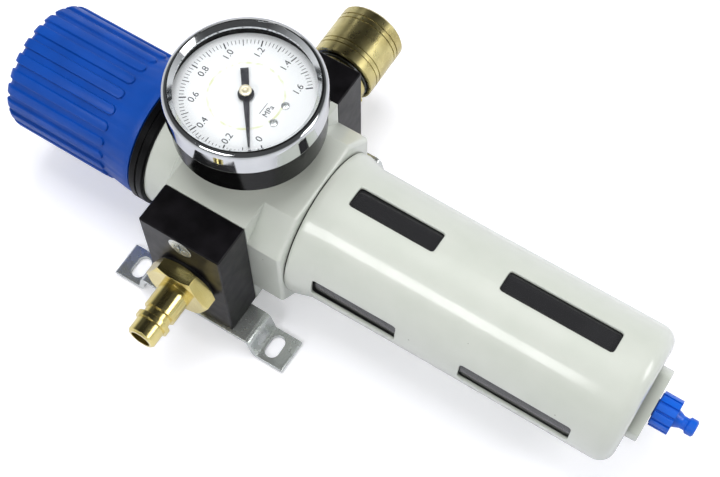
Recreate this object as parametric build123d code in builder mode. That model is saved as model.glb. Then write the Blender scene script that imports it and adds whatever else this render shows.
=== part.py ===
from build123d import *
from math import copysign, radians, tan
import os

# A wall-mounted compressed-air filter regulator. Z is its main axis, up to the knob, -Y faces the gauge,
# the air comes in on the -X side and leaves on the +X side. Lengths are in millimetres.
# The pieces are drawn round the main axis at the height of the ports and then stood in front of the wall.

os.makedirs("parts", exist_ok=True)

# Clearances
fit_gap = 0.05          # between turned pieces that screw or slip together
run_gap = 0.3           # between pieces that move past each other
seat_gap = 0.05         # between faces that are clamped on each other

# Body casting
body_width = 55.0
body_depth = 54.0
corner_cut = 11.4
body_bottom = -28.0
body_top = 31.0
neck_step = 3.0         # from the front of the block in to the round neck
shoulder_height = 6.0
edge_round = 1.4
neck_wall = 3.0
diaphragm_recess_depth = 9.0
diaphragm_rim = 4.5
sensing_chamber_depth = 8.5
outlet_chamber_radius = 7.5
outlet_chamber_top = 8.0
port_radius = 8.5
port_depth = 14.0
gauge_thread_radius = 6.5
gauge_thread_depth = 10.0
gauge_thread_end = 0.5        # left free at the bottom of the threaded hole
small_passage_radius = 3.0
inlet_drop_radius = 3.4
inlet_drop_x = 15.6
inlet_groove_depth = 3.0
inlet_groove_width = 6.0
bowl_thread_depth = 8.0
bowl_seal_bore_depth = 6.0
stem_bore_radius = 10.0
stem_bore_depth = 5.0
seat_radius = 8.0
seat_thickness = 3.0

# Connection plates and wall brackets
plate_thickness = 15.0
plate_step = 0.2        # from the front of the body back to the plate
plate_height = 31.2
plate_thread_radius = 8.3
plate_edge = 0.4
plate_screw_y = 21.6
plate_screw_radius = 2.1
plate_screw_head_radius = 4.4
plate_screw_grip = 11.0
plate_screw_tip_gap = 1.0
cross_width = 0.9
cross_depth = 1.2
bracket_width = 13.0
bracket_standoff = 10.4     # from the back of the body to the wall
bracket_reach = 9.5         # from the side of the body to the middle of the bracket
bracket_thickness = 2.0
bracket_bend_radius = 1.6
bracket_crown_half = 22.6
bracket_foot_start = 24.8
bracket_foot_end = 35.6
wall_slot_z = 29.3
wall_slot_length = 9.0
wall_slot_width = 5.4
bracket_screw_z = 10.0
bracket_screw_radius = 2.0
bracket_screw_length = 9.0
bracket_screw_head_radius = 4.0
bracket_screw_head = 2.6
hex_key_width = 3.0
seal_groove_inner = 10.4
seal_groove_outer = 13.4
seal_groove_depth = 1.9

# Inlet plug
nipple_thread_length = 10.0
washer_thickness = 1.0
washer_radius = 10.6
hex_across_flats = 22.0
hex_bevel_deg = 26.0         # of the cone that bevels its corners
nipple_hex_length = 5.8
nipple_body_radius = 5.9
nipple_body_length = 9.2
nipple_groove_radius = 4.9
nipple_groove_length = 2.8
nipple_collar_radius = 6.2
nipple_collar_length = 1.8
nipple_nose_radius = 5.2
nipple_nose_length = 6.0
nipple_bore_radius = 3.6
nipple_tip_bevel = 0.7

# Outlet quick coupling
coupling_hex_length = 5.0
coupling_body_radius = 9.8
coupling_socket_radius = 6.35
coupling_socket_depth = 16.5
coupling_end = 74.6
coupling_shoulder_radius = 11.2
coupling_shoulder_length = 3.0
mouth_bevel = 0.8
sleeve_start = 53.0
sleeve_end = 75.4
sleeve_radius = 12.8
sleeve_wall = 1.0
sleeve_shoulder_x = 64.0
sleeve_step_x = 71.0
sleeve_travel = 4.0
sleeve_groove_depth = 0.35
sleeve_groove_width = 0.5
sleeve_groove_pitch = 2.0
sleeve_rear_groove = 4.0      # from the rear end to the first groove
sleeve_front_groove = 6.5     # from the mouth to the inner groove
sleeve_rear_bevel = 0.4
sleeve_mouth_bevel = 0.9
ball_radius = 1.8
ball_count = 6
ball_x = 69.1
sleeve_spring_wire = 0.5
sleeve_spring_turns = 4
sleeve_spring_gap = 0.5
coupling_valve_radius = 5.6
coupling_valve_length = 4.0
coupling_valve_travel = 3.0
coupling_valve_rim = 2.5
valve_return_length = 6.0    # pressed
valve_return_wire = 0.35
valve_return_turns = 5
coupling_ring_thickness = 1.0

# Pressure gauge
gauge_standoff = 12.0       # from the front of the body to the back of the case
gauge_case_radius = 25.2
gauge_wall = 1.2
gauge_bezel_radius = 26.0
gauge_case_depth = 14.4      # behind the bezel
gauge_bezel_depth = 9.4
gauge_lip_radius = 22.4
gauge_lip_depth = 2.4
gauge_lip_slope = 1.6
gauge_front_round = 2.2
gauge_side_wall = 2.4
gauge_edge = 2.0
gauge_block_height = 9.6
gauge_block_length = 4.0
gauge_passage_radius = 1.8
window_thickness = 1.8
dial_set_back = 7.2          # from the front of the bezel
dial_thickness = 0.6
dial_radius = 23.4
pointer_length = 19.0
pointer_tail = 9.5
pointer_thickness = 0.5
pointer_tip_half = 0.3
pointer_root_half = 1.1
pointer_tail_half = 1.3
pointer_hub_radius = 2.6
pointer_gap = 0.7
pointer_shaft_radius = 0.6
pointer_zero_deg = 53.0     # the zero mark, round from straight down towards the inlet
gauge_hex_across_flats = 14.0
bourdon_radius = 17.0
bourdon_tube_radius = 1.9
bourdon_arc_deg = 270.0
bourdon_root_width = 6.4
movement_width = 16.0
movement_height = 17.6
movement_plate = 0.9
movement_pillar_radius = 1.1
movement_pillar_spacing = 12.0
plug_socket_width = 6.0
plug_socket_depth = 5.0

# Bonnet, knob and adjusting screw
ring_overhang = 1.3          # of the clamp ring over the neck
ring_height = 6.1
ring_groove = 0.5
ring_groove_low = 0.42       # share of the ring's height
ring_groove_high = 0.55
ring_bevel = 0.6
bonnet_step = 2.4            # from the diaphragm's edge in to the bonnet
bonnet_wall = 3.0
bonnet_mouth = 0.8           # where the bore widens over the diaphragm
bonnet_flange_thickness = 5.0
bonnet_height = 47.0         # above the body
bonnet_roof = 4.0
key_width = 4.0
key_length = 0.8
knob_gap = 0.5               # between the knob and the clamp ring
knob_wall = 5.0
knob_clearance = 0.8
knob_head = 14.0             # from the bonnet's top to the knob's
knob_roof = 3.5
knob_top_round = 3.4
rib_count = 24
rib_width = 3.6
rib_height = 1.0
rib_foot = 11.4              # from the knob's rim up to the ribs
rib_top_step = 0.4
rib_end_round = 1.5
rib_root = 4.0
rib_seat = 0.2
skirt_flare = 0.3
skirt_land = 2.5
crown_step = 0.6
spindle_radius = 4.8
spindle_length = 40.0        # below the bonnet's top
spindle_collar_radius = 8.0
spindle_collar = 4.0
spindle_hex = 8.6
spindle_bevel = 0.8
spindle_gap = 0.3
head_gap = 0.6
socket_wall = 3.4
nut_clearance = 2.6
nut_thickness = 6.0
nut_rest_drop = 18.0         # from the bonnet's top to the nut's underside
spring_inset = 2.7           # from the pressure plate's edge to the wire's middle
spring_wire = 1.3
spring_turns = 6

# Diaphragm and valve
diaphragm_thickness = 1.4
diaphragm_rise = 3.6
diaphragm_flex = 3.5         # width of the slope
pressure_plate_inset = 0.5
pressure_plate_thickness = 2.0
spring_boss_height = 2.5
rivet_radius = 2.2
lower_washer_radius = 8.0
lower_washer_thickness = 1.5
stem_radius = 1.5
orifice_radius = 4.0
seat_lip = 0.3
seat_lip_wall = 0.8
seat_press = 0.02
poppet_radius = 5.6
poppet_thickness = 3.2
guide_radius = 2.5
guide_length = 11.0
valve_spring_radius = 4.5
valve_spring_wire = 0.4
valve_spring_turns = 6

# Filter
holder_bore = 6.4
holder_clearance = 0.8       # between the flange and the bowl
holder_flange_thickness = 2.8
holder_top_gap = 0.4
shelf_drop = 3.0             # from the poppet's pin to the shelf
shelf_thickness = 1.8
guide_wall = 1.4
guide_height = 6.0
air_hole_count = 6
air_hole_radius = 1.1
air_hole_circle = 5.2
filter_stop = 2.0
vane_count = 8
vane_length = 5.0
vane_width = 2.6
vane_inset = 3.2
vane_slant_deg = 35.0
holder_tube_radius = 8.4
filter_drop = 17.0           # from the bowl's thread up to the filter's top
filter_length = 53.0
filter_outer_radius = 12.5
filter_inner_radius = 9.0
rod_radius = 2.4
retainer_clearance = 2.1     # between the retainer and the bowl
retainer_rise = 2.2
retainer_edge = 2.0
retainer_knob_radius = 6.5
retainer_knob_draft = 0.5
rod_thread_end = 1.0
retainer_thickness = 3.0
retainer_knob = 4.0

# Bowl, guard and drain
bowl_clearance = 1.3         # between the bowl and the guard
bowl_wall = 2.4
bowl_top_gap = 1.0
bowl_floor = 2.8
bowl_bottom_round = 5.0
bowl_seal_radius = 0.72
bowl_seal_drop = 2.4
bowl_groove_depth = 1.2
bowl_groove_half = 0.9
collar_inset = 0.4           # from the front of the body in to the guard's collar
collar_step = 2.1
guard_wall = 2.2
guard_collar_depth = 3.0
guard_flare_depth = 9.0
guard_taper = 0.4
guard_neck_wall = 1.8
guard_neck_root = 1.0
guard_bottom = -149.5
guard_floor = 2.4
guard_bottom_round = 5.6
guard_inner_slope = 3.2
guard_seam = 0.2
guard_turn_deg = 6.3
window_width = 8.6
window_corner = 1.4
upper_window_drop = 10.1     # from the body down to the upper windows
upper_window_length = 32.1
lower_window_lift = 14.8     # from the guard's bottom up to the lower windows
lower_window_length = 40.5
boss_length = 26.0
boss_width = 15.0
boss_drop = 4.0              # of the boss below the guard
boss_bevel = 0.6
boss_turn_deg = -25.0
drain_hole_radius = 3.1
drain_step = 0.4             # of the drain hole into the bowl's floor
drain_seat_radius = 1.6
drain_seal_radius = 2.6
drain_seal_length = 1.6
drain_neck_radius = 2.2
drain_neck_length = 2.2
drain_channel_radius = 0.9
drain_knob_radius = 6.2
drain_knob_length = 6.6
drain_flute_count = 12
drain_flute_width = 0.9
drain_flute_depth = 0.8
drain_collar = 0.3
drain_gap = 0.6
drain_barb_radius = 2.9
drain_barb_length = 7.2
drain_barb_flare = 0.3
drain_barb_waist = 0.7
drain_barb_cone = 2.4
drain_barb_head = 0.45       # share of the barb's length
drain_barb_bevel = 0.5

# Sizes that follow from those above
wall_offset = body_depth / 2 + bracket_standoff      # main axis to the wall
block_half = plate_height / 2
plate_depth = body_depth - 2 * plate_step
bracket_x = body_width / 2 + bracket_reach
neck_radius = body_depth / 2 - neck_step
diaphragm_recess_radius = neck_radius - neck_wall
sensing_chamber_radius = diaphragm_recess_radius - diaphragm_rim
diaphragm_flex_radius = sensing_chamber_radius - diaphragm_flex
plate_radius = diaphragm_flex_radius - pressure_plate_inset
spring_radius = plate_radius - spring_inset
ring_radius = neck_radius + ring_overhang
bonnet_radius = diaphragm_recess_radius - bonnet_step
bonnet_bore = bonnet_radius - bonnet_wall
bonnet_flange_radius = diaphragm_recess_radius - run_gap
bonnet_top = body_top + bonnet_height
key_radius = bonnet_bore + key_length
nut_radius = bonnet_bore - nut_clearance
nut_rest_bottom = bonnet_top - nut_rest_drop
knob_inner_radius = bonnet_radius + knob_clearance
knob_radius = knob_inner_radius + knob_wall
knob_bottom = body_top + ring_height + knob_gap
knob_top = bonnet_top + knob_head
rib_start = knob_bottom + rib_foot
spindle_bottom = bonnet_top - spindle_length
diaphragm_seat_z = body_top - diaphragm_recess_depth
sensing_floor_z = diaphragm_seat_z - sensing_chamber_depth
thread_top_z = body_bottom + bowl_thread_depth
recess_top_z = thread_top_z + bowl_seal_bore_depth
stem_bore_top_z = recess_top_z + stem_bore_depth
seat_top_z = stem_bore_top_z + seat_thickness
filter_top = recess_top_z - filter_drop
bowl_top = recess_top_z - bowl_top_gap
guard_collar_radius = body_depth / 2 - collar_inset
guard_radius = guard_collar_radius - collar_step
guard_inner = guard_radius - guard_wall
bowl_radius = guard_inner - bowl_clearance
bowl_inner = bowl_radius - bowl_wall
holder_flange_radius = bowl_inner - holder_clearance
retainer_radius = bowl_inner - retainer_clearance
upper_window_top = body_bottom - upper_window_drop
lower_window_top = guard_bottom + lower_window_lift + lower_window_length
guard_taper_end = (upper_window_top - upper_window_length + lower_window_top) / 2
boss_end = guard_bottom - boss_drop
bowl_bore_radius = bowl_radius + run_gap
guard_neck_inner = bowl_radius + run_gap
guard_neck_radius = guard_neck_inner + guard_neck_wall
bowl_thread_radius = guard_neck_radius + run_gap
plate_inner_x = body_width / 2
plate_outer_x = plate_inner_x + plate_thickness
crown_y = plate_depth / 2
foot_y = wall_offset - bracket_thickness
socket_start_x = coupling_end - coupling_socket_depth
gauge_case_back = body_depth / 2 + gauge_standoff
gauge_bezel_back = gauge_case_back + gauge_case_depth
gauge_bezel_front = gauge_bezel_back + gauge_bezel_depth
dial_face = gauge_bezel_front - dial_set_back

GAUGE_SECTION = Plane(origin=(0, 0, 0), x_dir=(1, 0, 0), z_dir=(0, 0, -1))   # local Y runs out to the front


def turned(corners, plane=Plane.XZ, axis=Axis.Z, mode=Mode.ADD):
    """Revolve a closed outline of the current part, its corners given as pairs on the plane."""
    with BuildSketch(plane) as outline:
        with BuildLine():
            Polyline(*corners, close=True)
        make_face()
    revolve(outline.sketch, axis=axis, mode=mode)


def bar(plane, radius, length, mode=Mode.ADD):
    """A round bar or bore of the current part, from a plane along its normal."""
    with BuildSketch(plane) as disc:
        Circle(radius)
    extrude(disc.sketch, amount=length, mode=mode)


def tube_between(inner, outer, bottom, top, mode=Mode.ADD):
    """A plain ring of the current part round the main axis."""
    turned([(inner, bottom), (outer, bottom), (outer, top), (inner, top)], mode=mode)


def ring_along_x(inner, outer, start, end, mode=Mode.ADD):
    """A plain ring of the current part round the port axis."""
    turned([(start, inner), (end, inner), (end, outer), (start, outer)], axis=Axis.X, mode=mode)


def round_ring(plane, centre_radius, cord_radius, axis):
    """A seal ring of the current part, its cord drawn with eight sides on a plane through the axis."""
    with BuildSketch(plane) as cord:
        with Locations((centre_radius, 0)):
            RegularPolygon(cord_radius, 8, major_radius=False, rotation=22.5)
    revolve(cord.sketch, axis=axis)


def port_hexagon(start, length):
    """A spanner hexagon of the current part round the port axis, bevelled at both ends."""
    with BuildPart(mode=Mode.PRIVATE) as hexagon:
        with BuildSketch(Plane.YZ.offset(start)):
            RegularPolygon(hex_across_flats / 2, 6, major_radius=False, rotation=30)
        extrude(amount=length)
        beyond = hex_across_flats / 2 * (1 + tan(radians(hex_bevel_deg)))
        for face_x, slope in ((start, length), (start + length, -length)):
            inner_x = face_x + copysign(tan(radians(hex_bevel_deg)) * (beyond - hex_across_flats / 2), slope)
            turned([(face_x, hex_across_flats / 2), (face_x, beyond), (inner_x, beyond)],
                   axis=Axis.X, mode=Mode.SUBTRACT)
    add(hexagon.part)


def save(piece, name):
    """Label a finished piece and write it, standing in front of the wall."""
    piece.part.label = name
    export_step(piece.part.moved(Location((0, -wall_offset, 0))), f"parts/{name}.step")


# Body casting: port block, chamfered skirt over the bowl and round neck under the bonnet
with BuildPart() as body_casting:
    with BuildSketch(Plane.XY.offset(-block_half)):
        Rectangle(body_width, body_depth)
    extrude(amount=plate_height)
    with BuildSketch(Plane.XY.offset(body_bottom)) as skirt_outline:
        Rectangle(body_width, body_depth)
        chamfer(skirt_outline.vertices(), corner_cut)
    extrude(amount=-block_half - body_bottom)
    fillet(body_casting.edges().group_by(Axis.Z)[0], edge_round)
    with BuildSketch(Plane.XY.offset(block_half)) as shoulder_outline:
        Rectangle(body_width, body_depth)
        chamfer(shoulder_outline.vertices(), corner_cut)
    extrude(amount=shoulder_height)
    turned([(neck_radius, block_half + shoulder_height), (body_width, block_half + shoulder_height),
            (body_width, block_half), (neck_radius + shoulder_height * 1.7, block_half)], mode=Mode.SUBTRACT)
    bar(Plane.XY.offset(block_half), neck_radius, body_top - block_half)
    # chambers on the main axis, from the top down
    bar(Plane.XY.offset(diaphragm_seat_z), diaphragm_recess_radius, diaphragm_recess_depth, Mode.SUBTRACT)
    bar(Plane.XY.offset(sensing_floor_z), sensing_chamber_radius, sensing_chamber_depth, Mode.SUBTRACT)
    bar(Plane.XY.offset(seat_top_z), outlet_chamber_radius, outlet_chamber_top - seat_top_z, Mode.SUBTRACT)
    bar(Plane.XY.offset(seat_top_z), stem_radius + run_gap, sensing_floor_z - seat_top_z, Mode.SUBTRACT)
    bar(Plane.XY.offset(stem_bore_top_z), seat_radius, seat_thickness, Mode.SUBTRACT)
    bar(Plane.XY.offset(recess_top_z), stem_bore_radius, stem_bore_depth, Mode.SUBTRACT)
    bar(Plane.XY.offset(thread_top_z), bowl_bore_radius, bowl_seal_bore_depth, Mode.SUBTRACT)
    bar(Plane.XY.offset(body_bottom), bowl_thread_radius, bowl_thread_depth, Mode.SUBTRACT)
    # ports to the sides, front and back
    for side in (Plane.YZ.offset(plane_x) for plane_x in (-plate_inner_x, plate_inner_x - port_depth)):
        bar(side, port_radius, port_depth, Mode.SUBTRACT)
    bar(Plane.YZ, port_radius * 0.7, plate_inner_x, Mode.SUBTRACT)
    bar(Plane.XY.offset(recess_top_z).shift_origin(Vector(-inlet_drop_x, 0, recess_top_z)),
        inlet_drop_radius, -recess_top_z, Mode.SUBTRACT)
    tube_between(inlet_drop_x - inlet_groove_width / 2, inlet_drop_x + inlet_groove_width / 2, recess_top_z,
                 recess_top_z + inlet_groove_depth, Mode.SUBTRACT)
    for front in (Plane.XZ.offset(body_depth / 2), Plane.XZ.offset(gauge_thread_depth - body_depth / 2)):
        bar(front, gauge_thread_radius + fit_gap, -gauge_thread_depth, Mode.SUBTRACT)
    bar(Plane.XZ.offset(-body_depth / 2), small_passage_radius, body_depth, Mode.SUBTRACT)
    # seal grooves and screw holes under the connection plates
    for start in (-plate_inner_x, plate_inner_x - seal_groove_depth):
        ring_along_x(seal_groove_inner, seal_groove_outer, start, start + seal_groove_depth, Mode.SUBTRACT)
    with BuildSketch(Plane.YZ.offset(-plate_inner_x)) as screw_holes:
        with GridLocations(2 * plate_screw_y, 0, 2, 1):
            Circle(plate_screw_radius)
    extrude(screw_holes.sketch, amount=plate_screw_grip, mode=Mode.SUBTRACT)
    with BuildSketch(Plane.YZ.offset(plate_inner_x)) as far_screw_holes:
        with GridLocations(2 * plate_screw_y, 0, 2, 1):
            Circle(plate_screw_radius)
    extrude(far_screw_holes.sketch, amount=-plate_screw_grip, mode=Mode.SUBTRACT)
save(body_casting, "body_casting")

# Connection plates: black blocks with the port thread, countersunk screw holes and bracket threads behind
plates = {"inlet_plate": -1, "outlet_plate": 1}
for plate_name, side in plates.items():
    outward = Plane(origin=(side * plate_inner_x, 0, 0), x_dir=(0, 1, 0), z_dir=(side, 0, 0))
    with BuildPart() as plate:
        with BuildSketch(outward):
            Rectangle(plate_depth, plate_height)
        extrude(amount=plate_thickness)
        chamfer(plate.edges(), plate_edge)
        with Locations(outward.offset(plate_thickness)):
            Hole(plate_thread_radius)
            with GridLocations(2 * plate_screw_y, 0, 2, 1):
                CounterSinkHole(plate_screw_radius + run_gap, plate_screw_head_radius + fit_gap,
                                counter_sink_angle=90)
        with Locations(Plane.XZ.offset(-crown_y)):
            with Locations((side * bracket_x, bracket_screw_z), (side * bracket_x, -bracket_screw_z)):
                Cylinder(bracket_screw_radius + fit_gap, 2 * (bracket_screw_length - bracket_thickness),
                         mode=Mode.SUBTRACT)
    save(plate, plate_name)

# Countersunk screws that hold the plates, with a cross recess
with BuildPart() as screw:
    shank_radius = plate_screw_radius - fit_gap
    screw_length = plate_thickness + plate_screw_grip - plate_screw_tip_gap
    turned([(0, 0), (0, screw_length), (shank_radius, screw_length),
            (shank_radius, plate_screw_head_radius - plate_screw_radius), (plate_screw_head_radius, 0)])
    for turn in (0, 90):
        Box(plate_screw_head_radius, cross_width, 2 * cross_depth, rotation=(0, 0, turn), mode=Mode.SUBTRACT)
with BuildPart() as plate_screws:
    for side in plates.values():
        for y in (-plate_screw_y, plate_screw_y):
            head = Plane(origin=(side * plate_outer_x, y, 0), x_dir=(0, 1, 0), z_dir=(-side, 0, 0))
            with Locations(head):
                add(screw.part)
save(plate_screws, "plate_screws")

# Rings that seal each plate on the body
with BuildPart() as plate_seals:
    seal_centre = (seal_groove_inner + seal_groove_outer) / 2
    seal_x = plate_inner_x - seal_groove_depth / 2
    for side in plates.values():
        round_ring(Plane(origin=(side * seal_x, 0, 0), x_dir=(0, 1, 0), z_dir=(0, 0, 1)), seal_centre,
                   seal_groove_depth / 2 - fit_gap, Axis.X)
save(plate_seals, "plate_seals")

# Wall brackets: strips bent round the back of each plate, with a slotted foot above and below
for bracket_name, side in {"inlet_bracket": -1, "outlet_bracket": 1}.items():
    strip_plane = Plane(origin=(side * bracket_x - bracket_width / 2, 0, 0), x_dir=(0, 1, 0), z_dir=(1, 0, 0))
    strip_middle = crown_y + bracket_thickness / 2
    foot_middle = foot_y + bracket_thickness / 2
    with BuildPart() as bracket:
        with BuildSketch(strip_plane):
            with BuildLine() as bend_line:
                FilletPolyline((foot_middle, -bracket_foot_end), (foot_middle, -bracket_foot_start),
                               (strip_middle, -bracket_crown_half), (strip_middle, bracket_crown_half),
                               (foot_middle, bracket_foot_start), (foot_middle, bracket_foot_end),
                               radius=bracket_bend_radius)
                offset(amount=bracket_thickness / 2, kind=Kind.INTERSECTION)
            make_face()
        extrude(amount=bracket_width)
        with BuildSketch(Plane.XZ.offset(-wall_offset)) as wall_slots:
            with Locations((side * bracket_x, wall_slot_z), (side * bracket_x, -wall_slot_z)):
                SlotOverall(wall_slot_length, wall_slot_width)
        extrude(wall_slots.sketch, amount=2 * bracket_thickness, mode=Mode.SUBTRACT)
        with BuildSketch(Plane.XZ.offset(-crown_y)) as crown_holes:
            with Locations((side * bracket_x, bracket_screw_z), (side * bracket_x, -bracket_screw_z)):
                Circle(bracket_screw_radius + run_gap)
        extrude(crown_holes.sketch, amount=-bracket_thickness, mode=Mode.SUBTRACT)
    save(bracket, bracket_name)

# Screws that hold the brackets from behind
with BuildPart() as bracket_screw:
    bar(Plane.XY, bracket_screw_head_radius, bracket_screw_head)
    chamfer(bracket_screw.edges().group_by(Axis.Z)[0], bracket_screw_head * 0.3)
    bar(Plane.XY.offset(bracket_screw_head), bracket_screw_radius, bracket_screw_length)
    with BuildSketch() as hex_recess:
        RegularPolygon(hex_key_width / 2, 6, major_radius=False)
    extrude(hex_recess.sketch, amount=bracket_screw_head * 0.6, mode=Mode.SUBTRACT)
with BuildPart() as bracket_screws:
    for side in plates.values():
        for z in (-bracket_screw_z, bracket_screw_z):
            under_head = crown_y + bracket_thickness + bracket_screw_head
            head = Plane(origin=(side * bracket_x, under_head, z), x_dir=(1, 0, 0), z_dir=(0, -1, 0))
            with Locations(head):
                add(bracket_screw.part)
save(bracket_screws, "bracket_screws")

# Inlet plug: hexagon, plain shank, groove, collar and hollow nose, screwed into the inlet plate
hex_start = plate_outer_x + washer_thickness
nipple_steps = [
    (nipple_body_radius, nipple_body_length), (nipple_groove_radius, nipple_groove_length),
    (nipple_collar_radius, nipple_collar_length), (nipple_nose_radius, nipple_nose_length)]
with BuildPart() as inlet_nipple:
    bar(Plane.YZ.offset(-hex_start), plate_thread_radius - fit_gap, nipple_thread_length + washer_thickness)
    port_hexagon(-hex_start, -nipple_hex_length)
    step_x = -hex_start - nipple_hex_length
    for step_radius, step_length in nipple_steps:
        bar(Plane.YZ.offset(step_x), step_radius, -step_length)
        step_x -= step_length
    nipple_tip_x = step_x
    chamfer(inlet_nipple.edges().filter_by(GeomType.CIRCLE).group_by(Axis.X)[0], nipple_tip_bevel)
    bar(Plane.YZ.offset(nipple_tip_x), nipple_bore_radius, -nipple_tip_x, Mode.SUBTRACT)
save(inlet_nipple, "inlet_nipple")

# Flat washers under both hexagons
for washer_name, side in {"inlet_washer": -1, "outlet_washer": 1}.items():
    with BuildPart() as washer:
        near, far = sorted((side * plate_outer_x, side * hex_start))
        ring_along_x(plate_thread_radius + run_gap, washer_radius, near, far)
    save(washer, washer_name)

# Outlet coupling body: thread, hexagon, spring shoulder and socket with holes for the locking balls
coupling_hex_end = hex_start + coupling_hex_length
sleeve_bore = sleeve_radius - sleeve_wall
with BuildPart() as coupling_body:
    bar(Plane.YZ.offset(hex_start - washer_thickness - nipple_thread_length), plate_thread_radius - fit_gap,
        nipple_thread_length + washer_thickness)
    port_hexagon(hex_start, coupling_hex_length)
    bar(Plane.YZ.offset(coupling_hex_end), coupling_shoulder_radius, coupling_shoulder_length)
    bar(Plane.YZ.offset(coupling_hex_end), coupling_body_radius, coupling_end - coupling_hex_end)
    chamfer(coupling_body.edges().filter_by(GeomType.CIRCLE).group_by(Axis.X)[-1], mouth_bevel)
    bar(Plane.YZ.offset(coupling_end), coupling_socket_radius, -coupling_socket_depth, Mode.SUBTRACT)
    valve_room = coupling_valve_length + coupling_valve_travel + valve_return_length
    bar(Plane.YZ.offset(socket_start_x), coupling_valve_radius + fit_gap, -valve_room, Mode.SUBTRACT)
    bar(Plane.YZ.offset(socket_start_x), nipple_bore_radius, -socket_start_x, Mode.SUBTRACT)
    for turn in range(ball_count):
        ball_axis = Plane(origin=(ball_x, 0, 0), z_dir=(0, 0, 1)).rotated((turn * 360 / ball_count, 0, 0))
        bar(ball_axis, ball_radius + fit_gap, coupling_body_radius + 1, Mode.SUBTRACT)
save(coupling_body, "coupling_body")

# Locking balls, held in the body by the sleeve
with BuildPart() as coupling_balls:
    ball_centre = coupling_body_radius + run_gap - fit_gap - ball_radius
    for turn in range(ball_count):
        ball_axis = Plane(origin=(ball_x, 0, 0), z_dir=(0, 0, 1)).rotated((turn * 360 / ball_count, 0, 0))
        with Locations(ball_axis.offset(ball_centre)):
            Sphere(ball_radius)
save(coupling_balls, "coupling_balls")

# Sleeve: pulled back towards the plate to let the plug go, with pairs of fine grooves near its ends
shoulder_bore = coupling_body_radius + run_gap
with BuildPart() as coupling_sleeve:
    turned([(sleeve_start, sleeve_bore), (sleeve_shoulder_x, sleeve_bore),
            (sleeve_shoulder_x, shoulder_bore), (sleeve_step_x, shoulder_bore), (sleeve_step_x, sleeve_bore),
            (sleeve_end, sleeve_bore), (sleeve_end, sleeve_radius), (sleeve_start, sleeve_radius)],
           axis=Axis.X)
    rims = coupling_sleeve.edges().filter_by(GeomType.CIRCLE).group_by(Axis.X)
    chamfer(rims[0].sort_by(SortBy.LENGTH)[-1], sleeve_rear_bevel)
    rims = coupling_sleeve.edges().filter_by(GeomType.CIRCLE).group_by(Axis.X)
    chamfer(rims[-1].sort_by(SortBy.LENGTH)[-1], sleeve_mouth_bevel)
    for first_x in (sleeve_start + sleeve_rear_groove, sleeve_end - sleeve_front_groove):
        for groove_x in (first_x, first_x + sleeve_groove_pitch):
            ring_along_x(sleeve_radius - sleeve_groove_depth, sleeve_radius + 1, groove_x,
                         groove_x + sleeve_groove_width, Mode.SUBTRACT)
save(coupling_sleeve, "coupling_sleeve")

# Retaining ring that stops the sleeve at the mouth
with BuildPart() as coupling_ring:
    ring_along_x(coupling_body_radius + fit_gap, sleeve_bore - run_gap, sleeve_step_x + seat_gap,
                 sleeve_step_x + seat_gap + coupling_ring_thickness)
save(coupling_ring, "coupling_ring")


def coil(radius, wire, height, turns):
    """A spring round Z that stands on Z = 0, its wire drawn with six sides, as its own part."""
    with BuildPart() as spring:
        with BuildLine() as path:
            rise = height - 2 * wire
            Helix(pitch=rise / turns, height=rise, radius=radius, center=(0, 0, wire))
        with BuildSketch(Plane(origin=path.line @ 0, z_dir=path.line % 0)):
            RegularPolygon(wire, 6)
        sweep(is_frenet=True)
    return spring.part


# Springs of the coupling, drawn as long as they are when pressed
with BuildPart() as sleeve_spring:
    spring_foot = coupling_hex_end + coupling_shoulder_length
    spring_room = sleeve_shoulder_x - sleeve_travel - spring_foot - sleeve_spring_gap
    spring_middle = (coupling_body_radius + sleeve_bore) / 2
    with Locations(Plane(origin=(spring_foot, 0, 0), z_dir=(1, 0, 0))):
        add(coil(spring_middle, sleeve_spring_wire, spring_room, sleeve_spring_turns))
save(sleeve_spring, "sleeve_spring")

# Valve inside the coupling, pushed back by the plug that enters
with BuildPart() as coupling_valve:
    valve_back_x = socket_start_x - coupling_valve_length
    bar(Plane.YZ.offset(valve_back_x), coupling_valve_radius * 0.8, coupling_valve_length)
    bar(Plane.YZ.offset(valve_back_x), coupling_valve_radius, coupling_valve_rim)
    chamfer(coupling_valve.edges().filter_by(GeomType.CIRCLE).group_by(Axis.X)[-1], mouth_bevel)
save(coupling_valve, "coupling_valve")

with BuildPart() as coupling_valve_spring:
    with Locations(Plane(origin=(socket_start_x - valve_room, 0, 0), z_dir=(1, 0, 0))):
        add(coil(coupling_valve_radius * 0.82, valve_return_wire, valve_return_length, valve_return_turns))
save(coupling_valve_spring, "coupling_valve_spring")

# Gauge socket: thread into the body, hexagon behind the case and block that carries the movement
gauge_gap = gauge_case_back - body_depth / 2
movement_back = gauge_case_back + gauge_wall
with BuildPart() as gauge_socket:
    thread_start = body_depth / 2 + gauge_thread_end - gauge_thread_depth
    bar(Plane.XZ.offset(thread_start), gauge_thread_radius, gauge_thread_depth)
    with BuildSketch(Plane.XZ.offset(body_depth / 2 + seat_gap)):
        RegularPolygon(gauge_hex_across_flats / 2, 6, major_radius=False)
    extrude(amount=gauge_gap - seat_gap)
    with BuildSketch(Plane.XZ.offset(gauge_case_back)):
        Rectangle(movement_width, gauge_block_height)
    extrude(amount=gauge_wall + gauge_block_length)
    bar(Plane.XZ.offset(body_depth / 2 - gauge_thread_depth), gauge_passage_radius,
        gauge_thread_depth + gauge_gap + gauge_wall, Mode.SUBTRACT)
save(gauge_socket, "gauge_socket")

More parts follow.
